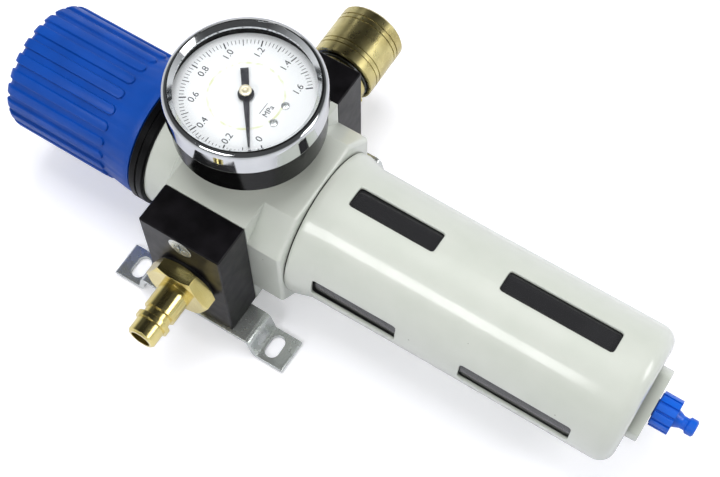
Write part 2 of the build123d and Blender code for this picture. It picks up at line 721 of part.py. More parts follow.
# Gauge case: black cup with a ledge for the dial and a rim that holds the window against the bezel
window_front = gauge_bezel_front - gauge_lip_depth
window_back = window_front - window_thickness
dial_back = dial_face - dial_thickness
bezel_bore = gauge_bezel_radius - gauge_wall
case_bore = gauge_case_radius - gauge_side_wall
with BuildPart() as gauge_case:
    turned([(0, gauge_case_back), (gauge_case_radius - gauge_edge, gauge_case_back),
            (gauge_case_radius, gauge_case_back + gauge_edge),
            (gauge_case_radius, gauge_bezel_back - seat_gap),
            (bezel_bore - fit_gap, gauge_bezel_back - seat_gap), (bezel_bore - fit_gap, window_back - seat_gap),
            (dial_radius + fit_gap, window_back - seat_gap), (dial_radius + fit_gap, dial_back - seat_gap),
            (case_bore, dial_back - seat_gap), (case_bore, movement_back), (0, movement_back)],
           plane=GAUGE_SECTION, axis=Axis.Y)
    with BuildSketch(Plane.XZ.offset(gauge_case_back)):
        Rectangle(movement_width + 2 * fit_gap, gauge_block_height + 2 * fit_gap)
    extrude(amount=gauge_wall, mode=Mode.SUBTRACT)
save(gauge_case, "gauge_case")

# Chrome bezel, rolled over the window in front
with BuildPart() as gauge_bezel:
    with BuildSketch(GAUGE_SECTION) as bezel_outline:
        with BuildLine():
            round_start = (gauge_bezel_radius, gauge_bezel_front - gauge_front_round)
            round_end = (gauge_bezel_radius - gauge_front_round, gauge_bezel_front)
            Polyline((bezel_bore, window_front), (bezel_bore, gauge_bezel_back),
                     (gauge_bezel_radius, gauge_bezel_back), round_start)
            RadiusArc(round_start, round_end, -gauge_front_round)
            Polyline(round_end, (gauge_lip_radius, gauge_bezel_front - gauge_lip_slope),
                     (gauge_lip_radius, window_front), (bezel_bore, window_front))
        make_face()
    revolve(bezel_outline.sketch, axis=Axis.Y)
save(gauge_bezel, "gauge_bezel")

# Clear window under the lip
with BuildPart() as gauge_window:
    bar(Plane.XZ.offset(window_back), bezel_bore - fit_gap, window_thickness)
save(gauge_window, "gauge_window")

# White dial on the ledge of the case
with BuildPart() as gauge_dial:
    bar(Plane.XZ.offset(dial_back), dial_radius, dial_thickness)
    bar(Plane.XZ.offset(dial_back), 2 * pointer_shaft_radius, dial_thickness, Mode.SUBTRACT)
save(gauge_dial, "gauge_dial")

# Movement: two plates on pillars that hold the pointer shaft
rear_plate = movement_back + gauge_block_length + seat_gap
front_plate = dial_back - seat_gap - 2 * movement_plate
with BuildPart() as gauge_movement:
    for level in (rear_plate, front_plate):
        with BuildSketch(Plane.XZ.offset(level)):
            Rectangle(movement_width, movement_height)
            Circle(pointer_shaft_radius + fit_gap, mode=Mode.SUBTRACT)
        extrude(amount=movement_plate)
    with BuildSketch(Plane.XZ.offset(rear_plate)):
        with GridLocations(movement_pillar_spacing, movement_pillar_spacing, 2, 2):
            Circle(movement_pillar_radius)
    extrude(amount=dial_back - seat_gap - rear_plate)
save(gauge_movement, "gauge_movement")

# Pointer with its tail, hub and the thin shaft through the dial, drawn at the zero mark
pointer_back = dial_face + pointer_gap
with BuildPart() as gauge_pointer:
    with BuildSketch(Plane.XZ.offset(pointer_back)):
        with BuildLine():
            Polyline((-pointer_tip_half, -pointer_length), (pointer_tip_half, -pointer_length),
                     (pointer_root_half, 0), (pointer_tail_half, pointer_tail),
                     (-pointer_tail_half, pointer_tail), (-pointer_root_half, 0), close=True)
        make_face()
        Circle(pointer_hub_radius)
    extrude(amount=pointer_thickness)
    bar(Plane.XZ.offset(pointer_back), pointer_hub_radius / 2, 2 * pointer_thickness)
    bar(Plane.XZ.offset(rear_plate), pointer_shaft_radius, pointer_back - rear_plate)
gauge_pointer.part = gauge_pointer.part.rotate(Axis.Y, pointer_zero_deg)
save(gauge_pointer, "gauge_pointer")

# Curved pressure tube that unbends under pressure, on a root beside the socket's block
tube_centre = rear_plate + bourdon_tube_radius
with BuildPart() as bourdon_tube:
    with BuildSketch(Plane.YZ) as tube_section:
        with Locations((-tube_centre, -bourdon_radius)):
            flat_oval = Rectangle(2 * bourdon_tube_radius, bourdon_tube_radius)
        chamfer(flat_oval.vertices(), bourdon_tube_radius * 0.3)
    revolve(tube_section.sketch, axis=Axis.Y, revolution_arc=bourdon_arc_deg)
    root_start = gauge_block_height / 2 + fit_gap
    root_steps = ((root_start, gauge_block_length),
                  (movement_height / 2 + run_gap, gauge_block_length + 2 * bourdon_tube_radius))
    for root_from, root_height in root_steps:
        with BuildSketch(Plane.XZ.offset(movement_back + seat_gap)):
            with Locations((0, -(root_from + bourdon_radius) / 2)):
                Rectangle(bourdon_root_width, bourdon_radius - root_from)
        extrude(amount=root_height - seat_gap)
save(bourdon_tube, "bourdon_tube")

# Plug in the rear gauge port, with a hexagon socket
with BuildPart() as rear_plug:
    bar(Plane.XZ.offset(-body_depth / 2), gauge_thread_radius, gauge_thread_depth - gauge_thread_end)
    with BuildSketch(Plane.XZ.offset(-body_depth / 2)) as plug_socket:
        RegularPolygon(plug_socket_width / 2, 6, major_radius=False)
    extrude(plug_socket.sketch, amount=plug_socket_depth, mode=Mode.SUBTRACT)
save(rear_plug, "rear_plug")

# Bonnet: black tube with a foot flange that clamps the diaphragm and a roof that holds the adjusting screw
bonnet_bottom = diaphragm_seat_z + diaphragm_thickness + seat_gap
flange_top = bonnet_bottom + bonnet_flange_thickness
with BuildPart() as bonnet:
    tube_between(bonnet_bore, bonnet_radius, bonnet_bottom, bonnet_top)
    tube_between(bonnet_bore, bonnet_flange_radius, bonnet_bottom, flange_top)
    turned([(0, bonnet_bottom), (sensing_chamber_radius + bonnet_mouth, bonnet_bottom),
            (bonnet_bore, flange_top), (0, flange_top)], mode=Mode.SUBTRACT)
    tube_between(spindle_radius + spindle_gap, bonnet_radius, bonnet_top - bonnet_roof, bonnet_top)
    with BuildSketch(Plane.XY.offset(flange_top)) as key_slots:
        Rectangle(2 * key_radius + 2 * run_gap, key_width + 2 * run_gap)
    extrude(key_slots.sketch, amount=bonnet_top - bonnet_roof - flange_top, mode=Mode.SUBTRACT)
save(bonnet, "bonnet")

# Clamp ring on the bonnet flange, screwed into the neck, with a fine groove round it
ring_bottom = body_top + seat_gap
with BuildPart() as bonnet_ring:
    tube_between(bonnet_radius + run_gap, ring_radius, ring_bottom, ring_bottom + ring_height)
    tube_between(bonnet_radius + run_gap, diaphragm_recess_radius - fit_gap, flange_top + seat_gap,
                 ring_bottom)
    chamfer(bonnet_ring.edges().filter_by(GeomType.CIRCLE).sort_by(SortBy.RADIUS)[-2:], ring_bevel)
    tube_between(ring_radius - ring_groove, ring_radius + 1, ring_bottom + ring_height * ring_groove_low,
                 ring_bottom + ring_height * ring_groove_high, Mode.SUBTRACT)
save(bonnet_ring, "bonnet_ring")

# Knob: ribbed cap over the bonnet, its hexagon socket slides on the head of the adjusting screw
groove_radius = knob_radius - rib_height
roof_bottom = knob_top - knob_roof
with BuildPart() as knob_rib:
    rib_end = knob_top - rib_top_step
    with BuildSketch(Plane.XZ.offset(groove_radius - rib_root)):
        with Locations((0, (rib_start + rib_end) / 2)):
            RectangleRounded(rib_width, rib_end - rib_start, rib_end_round)
    extrude(amount=rib_root + 2 * rib_height)
    with BuildSketch(Plane.XZ) as rib_envelope:
        with BuildLine():
            shoulder_start = (knob_radius, knob_top - knob_top_round)
            shoulder_end = (knob_radius - knob_top_round, knob_top)
            Polyline(shoulder_end, (knob_radius - rib_root - rib_height, knob_top),
                     (knob_radius - rib_root + rib_height, knob_top - rib_root + rib_height),
                     (groove_radius - rib_seat, rib_start - rib_height),
                     (knob_radius, rib_start - rib_height), shoulder_start)
            RadiusArc(shoulder_start, shoulder_end, -knob_top_round)
        make_face()
    revolve(rib_envelope.sketch, axis=Axis.Z, mode=Mode.INTERSECT)
with BuildPart() as knob:
    turned([(0, roof_bottom), (knob_inner_radius, roof_bottom), (knob_inner_radius, knob_bottom),
            (knob_radius + skirt_flare, knob_bottom), (knob_radius + skirt_flare, knob_bottom + skirt_land),
            (groove_radius, rib_start), (groove_radius, knob_top - knob_top_round),
            (knob_radius - knob_top_round - crown_step, knob_top - crown_step), (0, knob_top - crown_step)])
    with PolarLocations(0, rib_count):
        add(knob_rib.part)
    hub_bottom = bonnet_top + head_gap
    bar(Plane.XY.offset(hub_bottom), spindle_hex / 2 + socket_wall, roof_bottom - hub_bottom)
    with BuildSketch(Plane.XY.offset(hub_bottom)) as knob_socket:
        RegularPolygon(spindle_hex / 2 + fit_gap, 6, major_radius=False)
    extrude(knob_socket.sketch, amount=roof_bottom - hub_bottom, mode=Mode.SUBTRACT)
save(knob, "knob")

# Adjusting screw: thread, thrust collar under the bonnet roof and hexagon head
with BuildPart() as adjusting_screw:
    roof_underside = bonnet_top - bonnet_roof
    head_bottom = bonnet_top + spindle_gap
    bar(Plane.XY.offset(spindle_bottom), spindle_radius, head_bottom - spindle_bottom)
    chamfer(adjusting_screw.edges().group_by(Axis.Z)[0], spindle_bevel)
    bar(Plane.XY.offset(roof_underside - seat_gap - spindle_collar), spindle_collar_radius, spindle_collar)
    with BuildSketch(Plane.XY.offset(head_bottom)):
        RegularPolygon(spindle_hex / 2, 6, major_radius=False)
    extrude(amount=roof_bottom - head_gap - head_bottom)
save(adjusting_screw, "adjusting_screw")

# Spring nut with two keys that run in the bonnet's slots
with BuildPart() as spring_nut:
    with BuildSketch(Plane.XY.offset(nut_rest_bottom)):
        Circle(nut_radius)
        Rectangle(2 * key_radius, key_width)
        Circle(spindle_radius + fit_gap, mode=Mode.SUBTRACT)
    extrude(amount=nut_thickness)
save(spring_nut, "spring_nut")

# Diaphragm: clamped rim, slope and flat centre
centre_z = diaphragm_seat_z + diaphragm_rise
slope = diaphragm_thickness / 2
diaphragm_edge = diaphragm_recess_radius - run_gap
with BuildPart() as diaphragm:
    turned([(rivet_radius + fit_gap, centre_z), (diaphragm_flex_radius - slope, centre_z),
            (sensing_chamber_radius, diaphragm_seat_z), (diaphragm_edge, diaphragm_seat_z),
            (diaphragm_edge, diaphragm_seat_z + diaphragm_thickness),
            (sensing_chamber_radius + slope, diaphragm_seat_z + diaphragm_thickness),
            (diaphragm_flex_radius, centre_z + diaphragm_thickness),
            (rivet_radius + fit_gap, centre_z + diaphragm_thickness)])
save(diaphragm, "diaphragm")

# Pressure plate on the diaphragm, riveted through it to a washer below, with the relief hole
plate_bottom = centre_z + diaphragm_thickness + seat_gap
washer_top = centre_z - seat_gap
washer_bottom = washer_top - lower_washer_thickness
spring_bottom = plate_bottom + pressure_plate_thickness
with BuildPart() as pressure_plate:
    tube_between(0, plate_radius, plate_bottom, spring_bottom)
    tube_between(0, spring_radius - spring_wire - run_gap, spring_bottom, spring_bottom + spring_boss_height)
    tube_between(0, rivet_radius, washer_bottom, plate_bottom)
    tube_between(0, lower_washer_radius, washer_bottom, washer_top)
    bar(Plane.XY.offset(washer_bottom), stem_radius * 0.6,
        spring_bottom + spring_boss_height - washer_bottom, Mode.SUBTRACT)
save(pressure_plate, "pressure_plate")

# Main spring between the pressure plate and the spring nut
with BuildPart() as main_spring:
    with Locations((0, 0, spring_bottom)):
        add(coil(spring_radius, spring_wire, nut_rest_bottom - spring_bottom, spring_turns))
save(main_spring, "main_spring")

# Valve seat pressed into the body, with a raised lip
with BuildPart() as valve_seat:
    tube_between(orifice_radius, seat_radius - seat_press, stem_bore_top_z, seat_top_z - seat_gap)
    tube_between(orifice_radius, orifice_radius + seat_lip_wall, stem_bore_top_z - seat_lip, stem_bore_top_z)
save(valve_seat, "valve_seat")

# Valve poppet: stem up to the diaphragm, disc under the seat and guide pin below
poppet_top = stem_bore_top_z - seat_lip - seat_gap
poppet_bottom = poppet_top - poppet_thickness
with BuildPart() as valve_poppet:
    bar(Plane.XY.offset(poppet_top), stem_radius, washer_bottom - seat_gap - poppet_top)
    bar(Plane.XY.offset(poppet_top), poppet_radius, -poppet_thickness)
    bar(Plane.XY.offset(poppet_bottom), guide_radius, -guide_length)
save(valve_poppet, "valve_poppet")

# Filter holder: screwed into the body, with slanted swirl openings, the poppet's guide and the filter's rod
holder_top = stem_bore_top_z - holder_top_gap
flange_z = recess_top_z - seat_gap
shelf_z = poppet_bottom - guide_length - shelf_drop
with BuildPart() as filter_holder:
    tube_between(holder_bore, stem_bore_radius - fit_gap, flange_z, holder_top)
    tube_between(holder_bore, holder_flange_radius, flange_z - holder_flange_thickness, flange_z)
    tube_between(holder_bore, holder_tube_radius, filter_top, flange_z - holder_flange_thickness)
    with Locations((0, 0, flange_z - holder_flange_thickness / 2)):
        with PolarLocations(holder_flange_radius - vane_inset, vane_count):
            Box(vane_length, vane_width, 3 * holder_flange_thickness, rotation=(vane_slant_deg, 0, 0),
                mode=Mode.SUBTRACT)
    tube_between(holder_tube_radius, filter_outer_radius, filter_top, filter_top + filter_stop)
    tube_between(guide_radius + fit_gap, guide_radius + guide_wall, shelf_z, shelf_z + guide_height)
    bar(Plane.XY.offset(shelf_z), holder_tube_radius, -shelf_thickness)
    with BuildSketch(Plane.XY.offset(shelf_z)) as air_holes:
        with PolarLocations(air_hole_circle, air_hole_count):
            Circle(air_hole_radius)
    extrude(air_holes.sketch, amount=-shelf_thickness, mode=Mode.SUBTRACT)
    rod_end = filter_top - filter_length - retainer_thickness - retainer_knob + rod_thread_end
    bar(Plane.XY.offset(shelf_z), rod_radius, rod_end - shelf_z)
save(filter_holder, "filter_holder")

# Spring under the poppet
with BuildPart() as valve_spring:
    with Locations((0, 0, shelf_z)):
        add(coil(valve_spring_radius, valve_spring_wire, poppet_bottom - shelf_z, valve_spring_turns))
save(valve_spring, "valve_spring")

# Sintered filter sleeve
filter_bottom = filter_top - filter_length
with BuildPart() as filter_element:
    tube_between(filter_inner_radius, filter_outer_radius, filter_bottom, filter_top - seat_gap)
save(filter_element, "filter_element")

# Retainer: dished disc with a round nut that keeps the calm zone below the filter
with BuildPart() as filter_retainer:
    disc_bottom = filter_bottom - retainer_thickness
    knob_end = disc_bottom - retainer_knob
    rim_top = filter_bottom - retainer_rise
    turned([(rod_radius + fit_gap, filter_bottom - seat_gap),
            (filter_outer_radius + 1, filter_bottom - seat_gap), (retainer_radius, rim_top),
            (retainer_radius, rim_top - retainer_edge),
            (filter_outer_radius, disc_bottom), (retainer_knob_radius, disc_bottom),
            (retainer_knob_radius - retainer_knob_draft, knob_end), (rod_radius + fit_gap, knob_end)])
save(filter_retainer, "filter_retainer")

# Bowl: clear cup with a seal groove at its neck and a flatted boss below that carries the drain
floor_z = guard_bottom + guard_floor
seal_z = bowl_top - bowl_seal_drop
with BuildPart() as bowl:
    tube_between(0, bowl_radius, floor_z, bowl_top)
    fillet(bowl.edges().group_by(Axis.Z)[0], bowl_bottom_round)
    with BuildPart(mode=Mode.PRIVATE) as bowl_room:
        tube_between(0, bowl_inner, floor_z + bowl_floor, bowl_top)
        fillet(bowl_room.edges().group_by(Axis.Z)[0], bowl_bottom_round - bowl_wall * 0.5)
    add(bowl_room.part, mode=Mode.SUBTRACT)
    tube_between(bowl_radius - bowl_groove_depth, bowl_radius + 1, seal_z - bowl_groove_half,
                 seal_z + bowl_groove_half, Mode.SUBTRACT)
    with BuildSketch(Plane.XY.offset(boss_end)) as boss_outline:
        Circle(boss_length / 2)
        Rectangle(boss_length + 2, boss_width, rotation=boss_turn_deg, mode=Mode.INTERSECT)
    extrude(boss_outline.sketch, amount=floor_z - boss_end)
    chamfer(bowl.edges().group_by(Axis.Z)[0], boss_bevel)
    bar(Plane.XY.offset(boss_end), drain_hole_radius, floor_z + drain_step - boss_end, Mode.SUBTRACT)
    bar(Plane.XY.offset(boss_end), drain_seat_radius, floor_z + bowl_floor - boss_end, Mode.SUBTRACT)
save(bowl, "bowl")

# Seal ring in the bowl's groove
with BuildPart() as bowl_seal:
    seal_plane = Plane(origin=(0, 0, seal_z), x_dir=(1, 0, 0), z_dir=(0, -1, 0))
    round_ring(seal_plane, bowl_bore_radius - fit_gap - bowl_seal_radius, bowl_seal_radius, Axis.Z)
save(bowl_seal, "bowl_seal")

# Guard: cast sleeve round the bowl with a threaded neck and two rows of sight windows
guard_top = body_bottom - guard_seam
with BuildPart() as bowl_guard:
    turned([(guard_neck_inner, guard_top), (guard_collar_radius, guard_top),
            (guard_collar_radius, guard_top - guard_collar_depth),
            (guard_radius + guard_taper, guard_top - guard_flare_depth), (guard_radius, guard_taper_end),
            (guard_radius, guard_bottom), (0, guard_bottom), (0, floor_z),
            (guard_inner - guard_inner_slope, floor_z), (guard_inner, floor_z + guard_inner_slope),
            (guard_inner, guard_top - guard_collar_depth),
            (guard_neck_inner, guard_top - guard_neck_root)])
    fillet(bowl_guard.edges().group_by(Axis.Z)[0], guard_bottom_round)
    tube_between(guard_neck_inner, guard_neck_radius, guard_top - guard_neck_root / 2, thread_top_z - run_gap)
    bar(Plane.XY.offset(guard_bottom), boss_length / 2 + run_gap, guard_floor, Mode.SUBTRACT)
    for top, length in ((upper_window_top, upper_window_length), (lower_window_top, lower_window_length)):
        for turn in range(4):
            facing = Plane.XZ.rotated((0, 0, guard_turn_deg + 90 * turn))
            with BuildSketch(facing.offset(guard_inner - guard_wall)) as window:
                with Locations((0, top - length / 2)):
                    RectangleRounded(window_width, length, window_corner)
            extrude(window.sketch, amount=3 * guard_wall, mode=Mode.SUBTRACT)
save(bowl_guard, "bowl_guard")

# Soft plug that closes the drain, pushed up by the drain screw
plug_top = floor_z + drain_step - seat_gap
plug_bottom = plug_top - drain_seal_length
with BuildPart() as drain_seal:
    bar(Plane.XY.offset(plug_bottom), drain_seal_radius, drain_seal_length)
save(drain_seal, "drain_seal")

# Drain screw: stem, fluted knob and hose barb with its channel
knob_face = boss_end - drain_gap
barb_root = knob_face - drain_knob_length
barb_end = barb_root - drain_barb_length
with BuildPart() as drain_screw:
    stem_end = plug_bottom - seat_gap
    bar(Plane.XY.offset(knob_face), drain_hole_radius - fit_gap, stem_end - drain_neck_length - knob_face)
    bar(Plane.XY.offset(knob_face), drain_neck_radius, stem_end - knob_face)
    with BuildSketch(Plane.XY.offset(knob_face)):
        Circle(drain_knob_radius)
        with PolarLocations(drain_knob_radius, drain_flute_count):
            SlotOverall(2 * drain_flute_depth, drain_flute_width, mode=Mode.SUBTRACT)
    extrude(amount=-drain_knob_length)
    tube_between(0, drain_knob_radius - drain_flute_depth, knob_face, knob_face + drain_collar)
    waist_radius = drain_barb_radius - drain_barb_waist
    head_start = barb_end + drain_barb_length * drain_barb_head
    turned([(0, barb_root), (drain_barb_radius + drain_barb_flare, barb_root),
            (waist_radius, barb_root - drain_barb_cone), (waist_radius, head_start),
            (drain_barb_radius, head_start - drain_barb_bevel),
            (drain_barb_radius, barb_end + drain_barb_bevel),
            (drain_barb_radius - drain_barb_bevel, barb_end), (0, barb_end)])
    cross_hole_z = stem_end - drain_neck_length / 2
    bar(Plane.XY.offset(barb_end), drain_channel_radius, cross_hole_z - barb_end, Mode.SUBTRACT)
    with Locations((0, 0, cross_hole_z)):
        Cylinder(drain_channel_radius * 0.7, 2 * drain_hole_radius, rotation=(0, 90, 0), mode=Mode.SUBTRACT)
save(drain_screw, "drain_screw")
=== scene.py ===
"""Looks of a compressed-air filter regulator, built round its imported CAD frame."""

import logging
import math
from collections.abc import Callable
from dataclasses import dataclass
from enum import Enum

import bpy
from mathutils import Matrix, Vector


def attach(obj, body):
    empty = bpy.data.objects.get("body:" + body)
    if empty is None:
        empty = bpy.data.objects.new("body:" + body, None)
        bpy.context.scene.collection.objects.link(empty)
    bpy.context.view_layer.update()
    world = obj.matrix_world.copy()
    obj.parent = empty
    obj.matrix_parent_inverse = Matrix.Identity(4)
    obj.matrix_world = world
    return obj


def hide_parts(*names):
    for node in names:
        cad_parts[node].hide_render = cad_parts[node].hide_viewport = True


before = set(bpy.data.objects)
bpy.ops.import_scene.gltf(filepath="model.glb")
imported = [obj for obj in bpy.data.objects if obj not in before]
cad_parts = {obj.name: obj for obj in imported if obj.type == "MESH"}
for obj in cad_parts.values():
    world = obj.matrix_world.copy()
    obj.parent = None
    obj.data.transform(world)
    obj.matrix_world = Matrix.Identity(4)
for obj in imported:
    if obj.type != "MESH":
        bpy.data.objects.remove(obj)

log = logging.getLogger("filter_regulator")

Socket = bpy.types.NodeSocket
Pair = tuple[float, float]
Point = tuple[float, float, float]
Profile = list[Pair]

MM = 0.001
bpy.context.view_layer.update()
WALL_OFFSET = 37.4          # main axis to the wall, in millimetres
CAPITAL_SHARE = 0.72        # height of a capital letter over the font's size
MERGE_MM = 0.005            # vertices closer than this are one
MIRROR = 0.02               # no roughness goes below this
TINT_NOISE = (0.35, 0.7)    # stretch of the noise that tints a surface
GLOSS_NOISE = (0.3, 0.7)    # stretch of the noise that varies its gloss


class Direction(Enum):
    """Axis that turning rings or drawing lines lie square to."""

    ALONG_X = (1.0, 0.0, 0.0)
    ALONG_Z = (0.0, 0.0, 1.0)


def linear(code: str) -> tuple[float, float, float, float]:
    """Turn an sRGB hex colour into linear RGBA.

    Args:
        code: the colour, such as "#CFD1CA".

    Returns:
        Red, green, blue and alpha, each from 0 to 1.
    """
    channels = [int(code[i:i + 2], 16) / 255 for i in (1, 3, 5)]
    light = [c / 12.92 if c <= 0.04045 else ((c + 0.055) / 1.055) ** 2.4 for c in channels]
    return (*light, 1.0)


def add_node(tree: bpy.types.NodeTree, kind: str, values: dict | None = None, links: dict | None = None,
             **settings: object) -> bpy.types.Node:
    """Add a shader node with its settings, socket values and links.

    Args:
        tree: the node tree it goes into.
        kind: the node's type name.
        values: socket name or number to its value.
        links: socket name or number to the output socket that feeds it.
        settings: the node's own properties.

    Returns:
        The new node.
    """
    made = tree.nodes.new(kind)
    for name, value in settings.items():
        setattr(made, name, value)
    for socket, value in (values or {}).items():
        made.inputs[socket].default_value = value
    for socket, source in (links or {}).items():
        tree.links.new(source, made.inputs[socket])
    return made


def map_range(tree: bpy.types.NodeTree, value: Socket, old: Pair,
              new: Pair) -> Socket:
    """Stretch a value from the old range to the new one, and hold it at the ends."""
    return add_node(tree, "ShaderNodeMapRange", {"From Min": old[0], "From Max": old[1],
                                                 "To Min": new[0], "To Max": new[1]},
                    {"Value": value}).outputs[0]


def emptied(made: bpy.types.Material | bpy.types.World) -> bpy.types.NodeTree:
    """Give a new material or world an empty node tree."""
    made.use_nodes = True
    made.node_tree.nodes.clear()
    return made.node_tree


def per_metre(millimetres: float) -> float:
    """Scale of a pattern whose features are this many millimetres apart."""
    return 1.0 / (millimetres * MM)


@dataclass(frozen=True)
class Surface:
    """A material being built: its node tree, its Principled shader and the object coordinates."""

    tree: bpy.types.NodeTree
    shader: bpy.types.Node
    place: Socket

    def feed(self, name: str, source: Socket) -> None:
        """Let a node's output set one of the shader's sockets."""
        self.tree.links.new(source, self.shader.inputs[name])

    def noise(self, size_mm: float, detail: float = 2.0,
              place: Socket | None = None) -> Socket:
        """Soft noise from 0 to 1 in patches of this size, at other coordinates if any are given."""
        return add_node(self.tree, "ShaderNodeTexNoise", {"Scale": per_metre(size_mm), "Detail": detail},
                        {"Vector": self.place if place is None else place}).outputs["Fac"]

    def cells(self, size_mm: float) -> Socket:
        """Distance to the nearest of many points that lie this many millimetres apart."""
        return add_node(self.tree, "ShaderNodeTexVoronoi", {"Scale": per_metre(size_mm)},
                        {"Vector": self.place}).outputs["Distance"]

    def mix(self, share: Socket, first: Socket | str,
            second: str) -> Socket:
        """Mix two colours.

        Args:
            share: how much of the second one shows.
            first: a colour socket or an sRGB code.
            second: an sRGB code.

        Returns:
            The mixed colour.
        """
        values, links = {7: linear(second)}, {0: share}
        if isinstance(first, str):
            values[6] = linear(first)
        else:
            links[6] = first
        return add_node(self.tree, "ShaderNodeMix", values, links, data_type="RGBA").outputs[2]


@dataclass(frozen=True)
class Finish:
    """A real surface finish: its colour and the numbers that its shader takes."""

    name: str
    colour: str
    roughness: float
    metallic: float = 0.0
    coat: float = 0.0
    coat_roughness: float = 0.05
    edge_mm: float = 0.0
    specular: float = 0.5
    gloss_mm: float = 5.0
    gloss_spread: float = 0.05

    def material(self) -> bpy.types.Material:
        """Build the material once and hand it out again afterwards.

        Returns:
            The material.
        """
        found = bpy.data.materials.get(self.name)
        if found:
            return found
        made = bpy.data.materials.new(self.name)
        made.use_nodes = True
        shader = made.node_tree.nodes["Principled BSDF"]
        for socket, value in {"Base Color": linear(self.colour), "Roughness": self.roughness,
                              "Metallic": self.metallic, "Specular IOR Level": self.specular,
                              "Coat Weight": self.coat, "Coat Roughness": self.coat_roughness}.items():
            shader.inputs[socket].default_value = value
        place = add_node(made.node_tree, "ShaderNodeTexCoord").outputs["Object"]
        self.dress(Surface(made.node_tree, shader, place))
        return made

    def dress(self, on: Surface) -> None:
        """Add the finish's own pattern to a surface."""

    def mottle(self, on: Surface, size_mm: float, other: str, share: float) -> Socket:
        """The finish's own colour, which goes softly in patches towards a share of another one."""
        patches = map_range(on.tree, on.noise(size_mm, 4.0), TINT_NOISE, (0.0, share))
        return on.mix(patches, self.colour, other)

    def vary_roughness(self, on: Surface) -> None:
        """Let the roughness wander round the finish's own value."""
        low, high = max(self.roughness - self.gloss_spread, MIRROR), self.roughness + self.gloss_spread
        on.feed("Roughness", map_range(on.tree, on.noise(self.gloss_mm, 3.0), GLOSS_NOISE, (low, high)))

    def relief(self, on: Surface, height: Socket, depth_mm: float,
               strength: float = 1.0) -> None:
        """Raise the surface by a pattern, on top of slightly rounded edges.

        Args:
            on: the surface.
            height: the pattern, from 0 to 1.
            depth_mm: how much higher 1 stands than 0.
            strength: how much of that shows.
        """
        bump = add_node(on.tree, "ShaderNodeBump", {"Strength": strength, "Distance": depth_mm * MM},
                        {"Height": height})
        if self.edge_mm:
            rounded = add_node(on.tree, "ShaderNodeBevel", {"Radius": self.edge_mm * MM}, samples=6)
            on.tree.links.new(rounded.outputs["Normal"], bump.inputs["Normal"])
        on.feed("Normal", bump.outputs["Normal"])


@dataclass(frozen=True)
class CastEnamel(Finish):
    """Stove enamel on a zinc casting: glossy, with a faint orange peel and a few dark specks."""

    gloss_mm: float = 20.0
    gloss_spread: float = 0.04
    peel_mm: float = 1.6
    peel_depth_mm: float = 0.02
    patch_mm: float = 14.0
    patch_colour: str = "#C6CCC2"
    patch_share: float = 0.5
    speck_mm: float = 9.0
    speck_edge: Pair = (0.022, 0.034)
    speck_colour: str = "#6B6A62"
    speck_share: float = 0.8

    def dress(self, on: Surface) -> None:
        """Orange peel in the gloss, soft tint changes and rare specks of dirt under the enamel."""
        tinted = self.mottle(on, self.patch_mm, self.patch_colour, self.patch_share)
        speck = map_range(on.tree, on.cells(self.speck_mm), self.speck_edge, (self.speck_share, 0.0))
        on.feed("Base Color", on.mix(speck, tinted, self.speck_colour))
        self.relief(on, on.noise(self.peel_mm, 1.0), self.peel_depth_mm)
        self.vary_roughness(on)


@dataclass(frozen=True)
class MouldedPlastic(Finish):
    """Injection-moulded plastic, rubber or a thin lacquer: fine grain and faint flow marks."""

    gloss_mm: float = 6.0
    gloss_spread: float = 0.06
    grain_mm: float = 0.35
    grain_depth_mm: float = 0.03
    flow_mm: float = 11.0
    other: str = "#000000"
    share: float = 0.5

    def dress(self, on: Surface) -> None:
        """Fine grain, slight tint changes and uneven gloss."""
        on.feed("Base Color", self.mottle(on, self.flow_mm, self.other, self.share))
        self.relief(on, on.noise(self.grain_mm), self.grain_depth_mm)
        self.vary_roughness(on)


@dataclass(frozen=True)
class MachinedMetal(Finish):
    """Turned, drawn or brushed metal: fine streaks square to one axis."""

    grain: Direction = Direction.ALONG_X
    streak_mm: float = 0.25
    stretch: float = 30.0
    depth_mm: float = 0.01
    handled_mm: float = 7.0
    other: str = "#FFFFFF"
    share: float = 0.5

    def dress(self, on: Surface) -> None:
        """Long streaks, and a blotchy tint from handling."""
        on.feed("Base Color", self.mottle(on, self.handled_mm, self.other, self.share))
        squeeze = tuple(1.0 if along else 1.0 / self.stretch for along in self.grain.value)
        laid = add_node(on.tree, "ShaderNodeMapping", {"Scale": squeeze}, {"Vector": on.place})
        self.relief(on, on.noise(self.streak_mm, place=laid.outputs["Vector"]), self.depth_mm)
        self.vary_roughness(on)


@dataclass(frozen=True)
class ClearPlastic(Finish):
    """Clear plastic, which a finish may also tint dark grey."""

    ior: float = 1.58
    wave_mm: float = 12.0
    wave_depth_mm: float = 0.02
    wave_strength: float = 0.4
    through: float = 1.0

    def dress(self, on: Surface) -> None:
        """Light goes through, with a faint waviness from the mould."""
        on.shader.inputs["Transmission Weight"].default_value = self.through
        on.shader.inputs["IOR"].default_value = self.ior
        self.relief(on, on.noise(self.wave_mm, 1.0), self.wave_depth_mm, self.wave_strength)


@dataclass(frozen=True)
class SinteredBeads(Finish):
    """Sintered filter sleeve: small beads melted together."""

    bead_mm: float = 0.6
    bead_depth_mm: float = 0.1
    gap_colour: str = "#3A3833"
    gap_from: float = 0.6

    def dress(self, on: Surface) -> None:
        """Beads as cells, darker between them."""
        cells = on.cells(self.bead_mm)
        dark = map_range(on.tree, cells, (0.0, self.gap_from), (0.0, self.gap_from))
        on.feed("Base Color", on.mix(dark, self.colour, self.gap_colour))
        self.relief(on, cells, -self.bead_depth_mm)


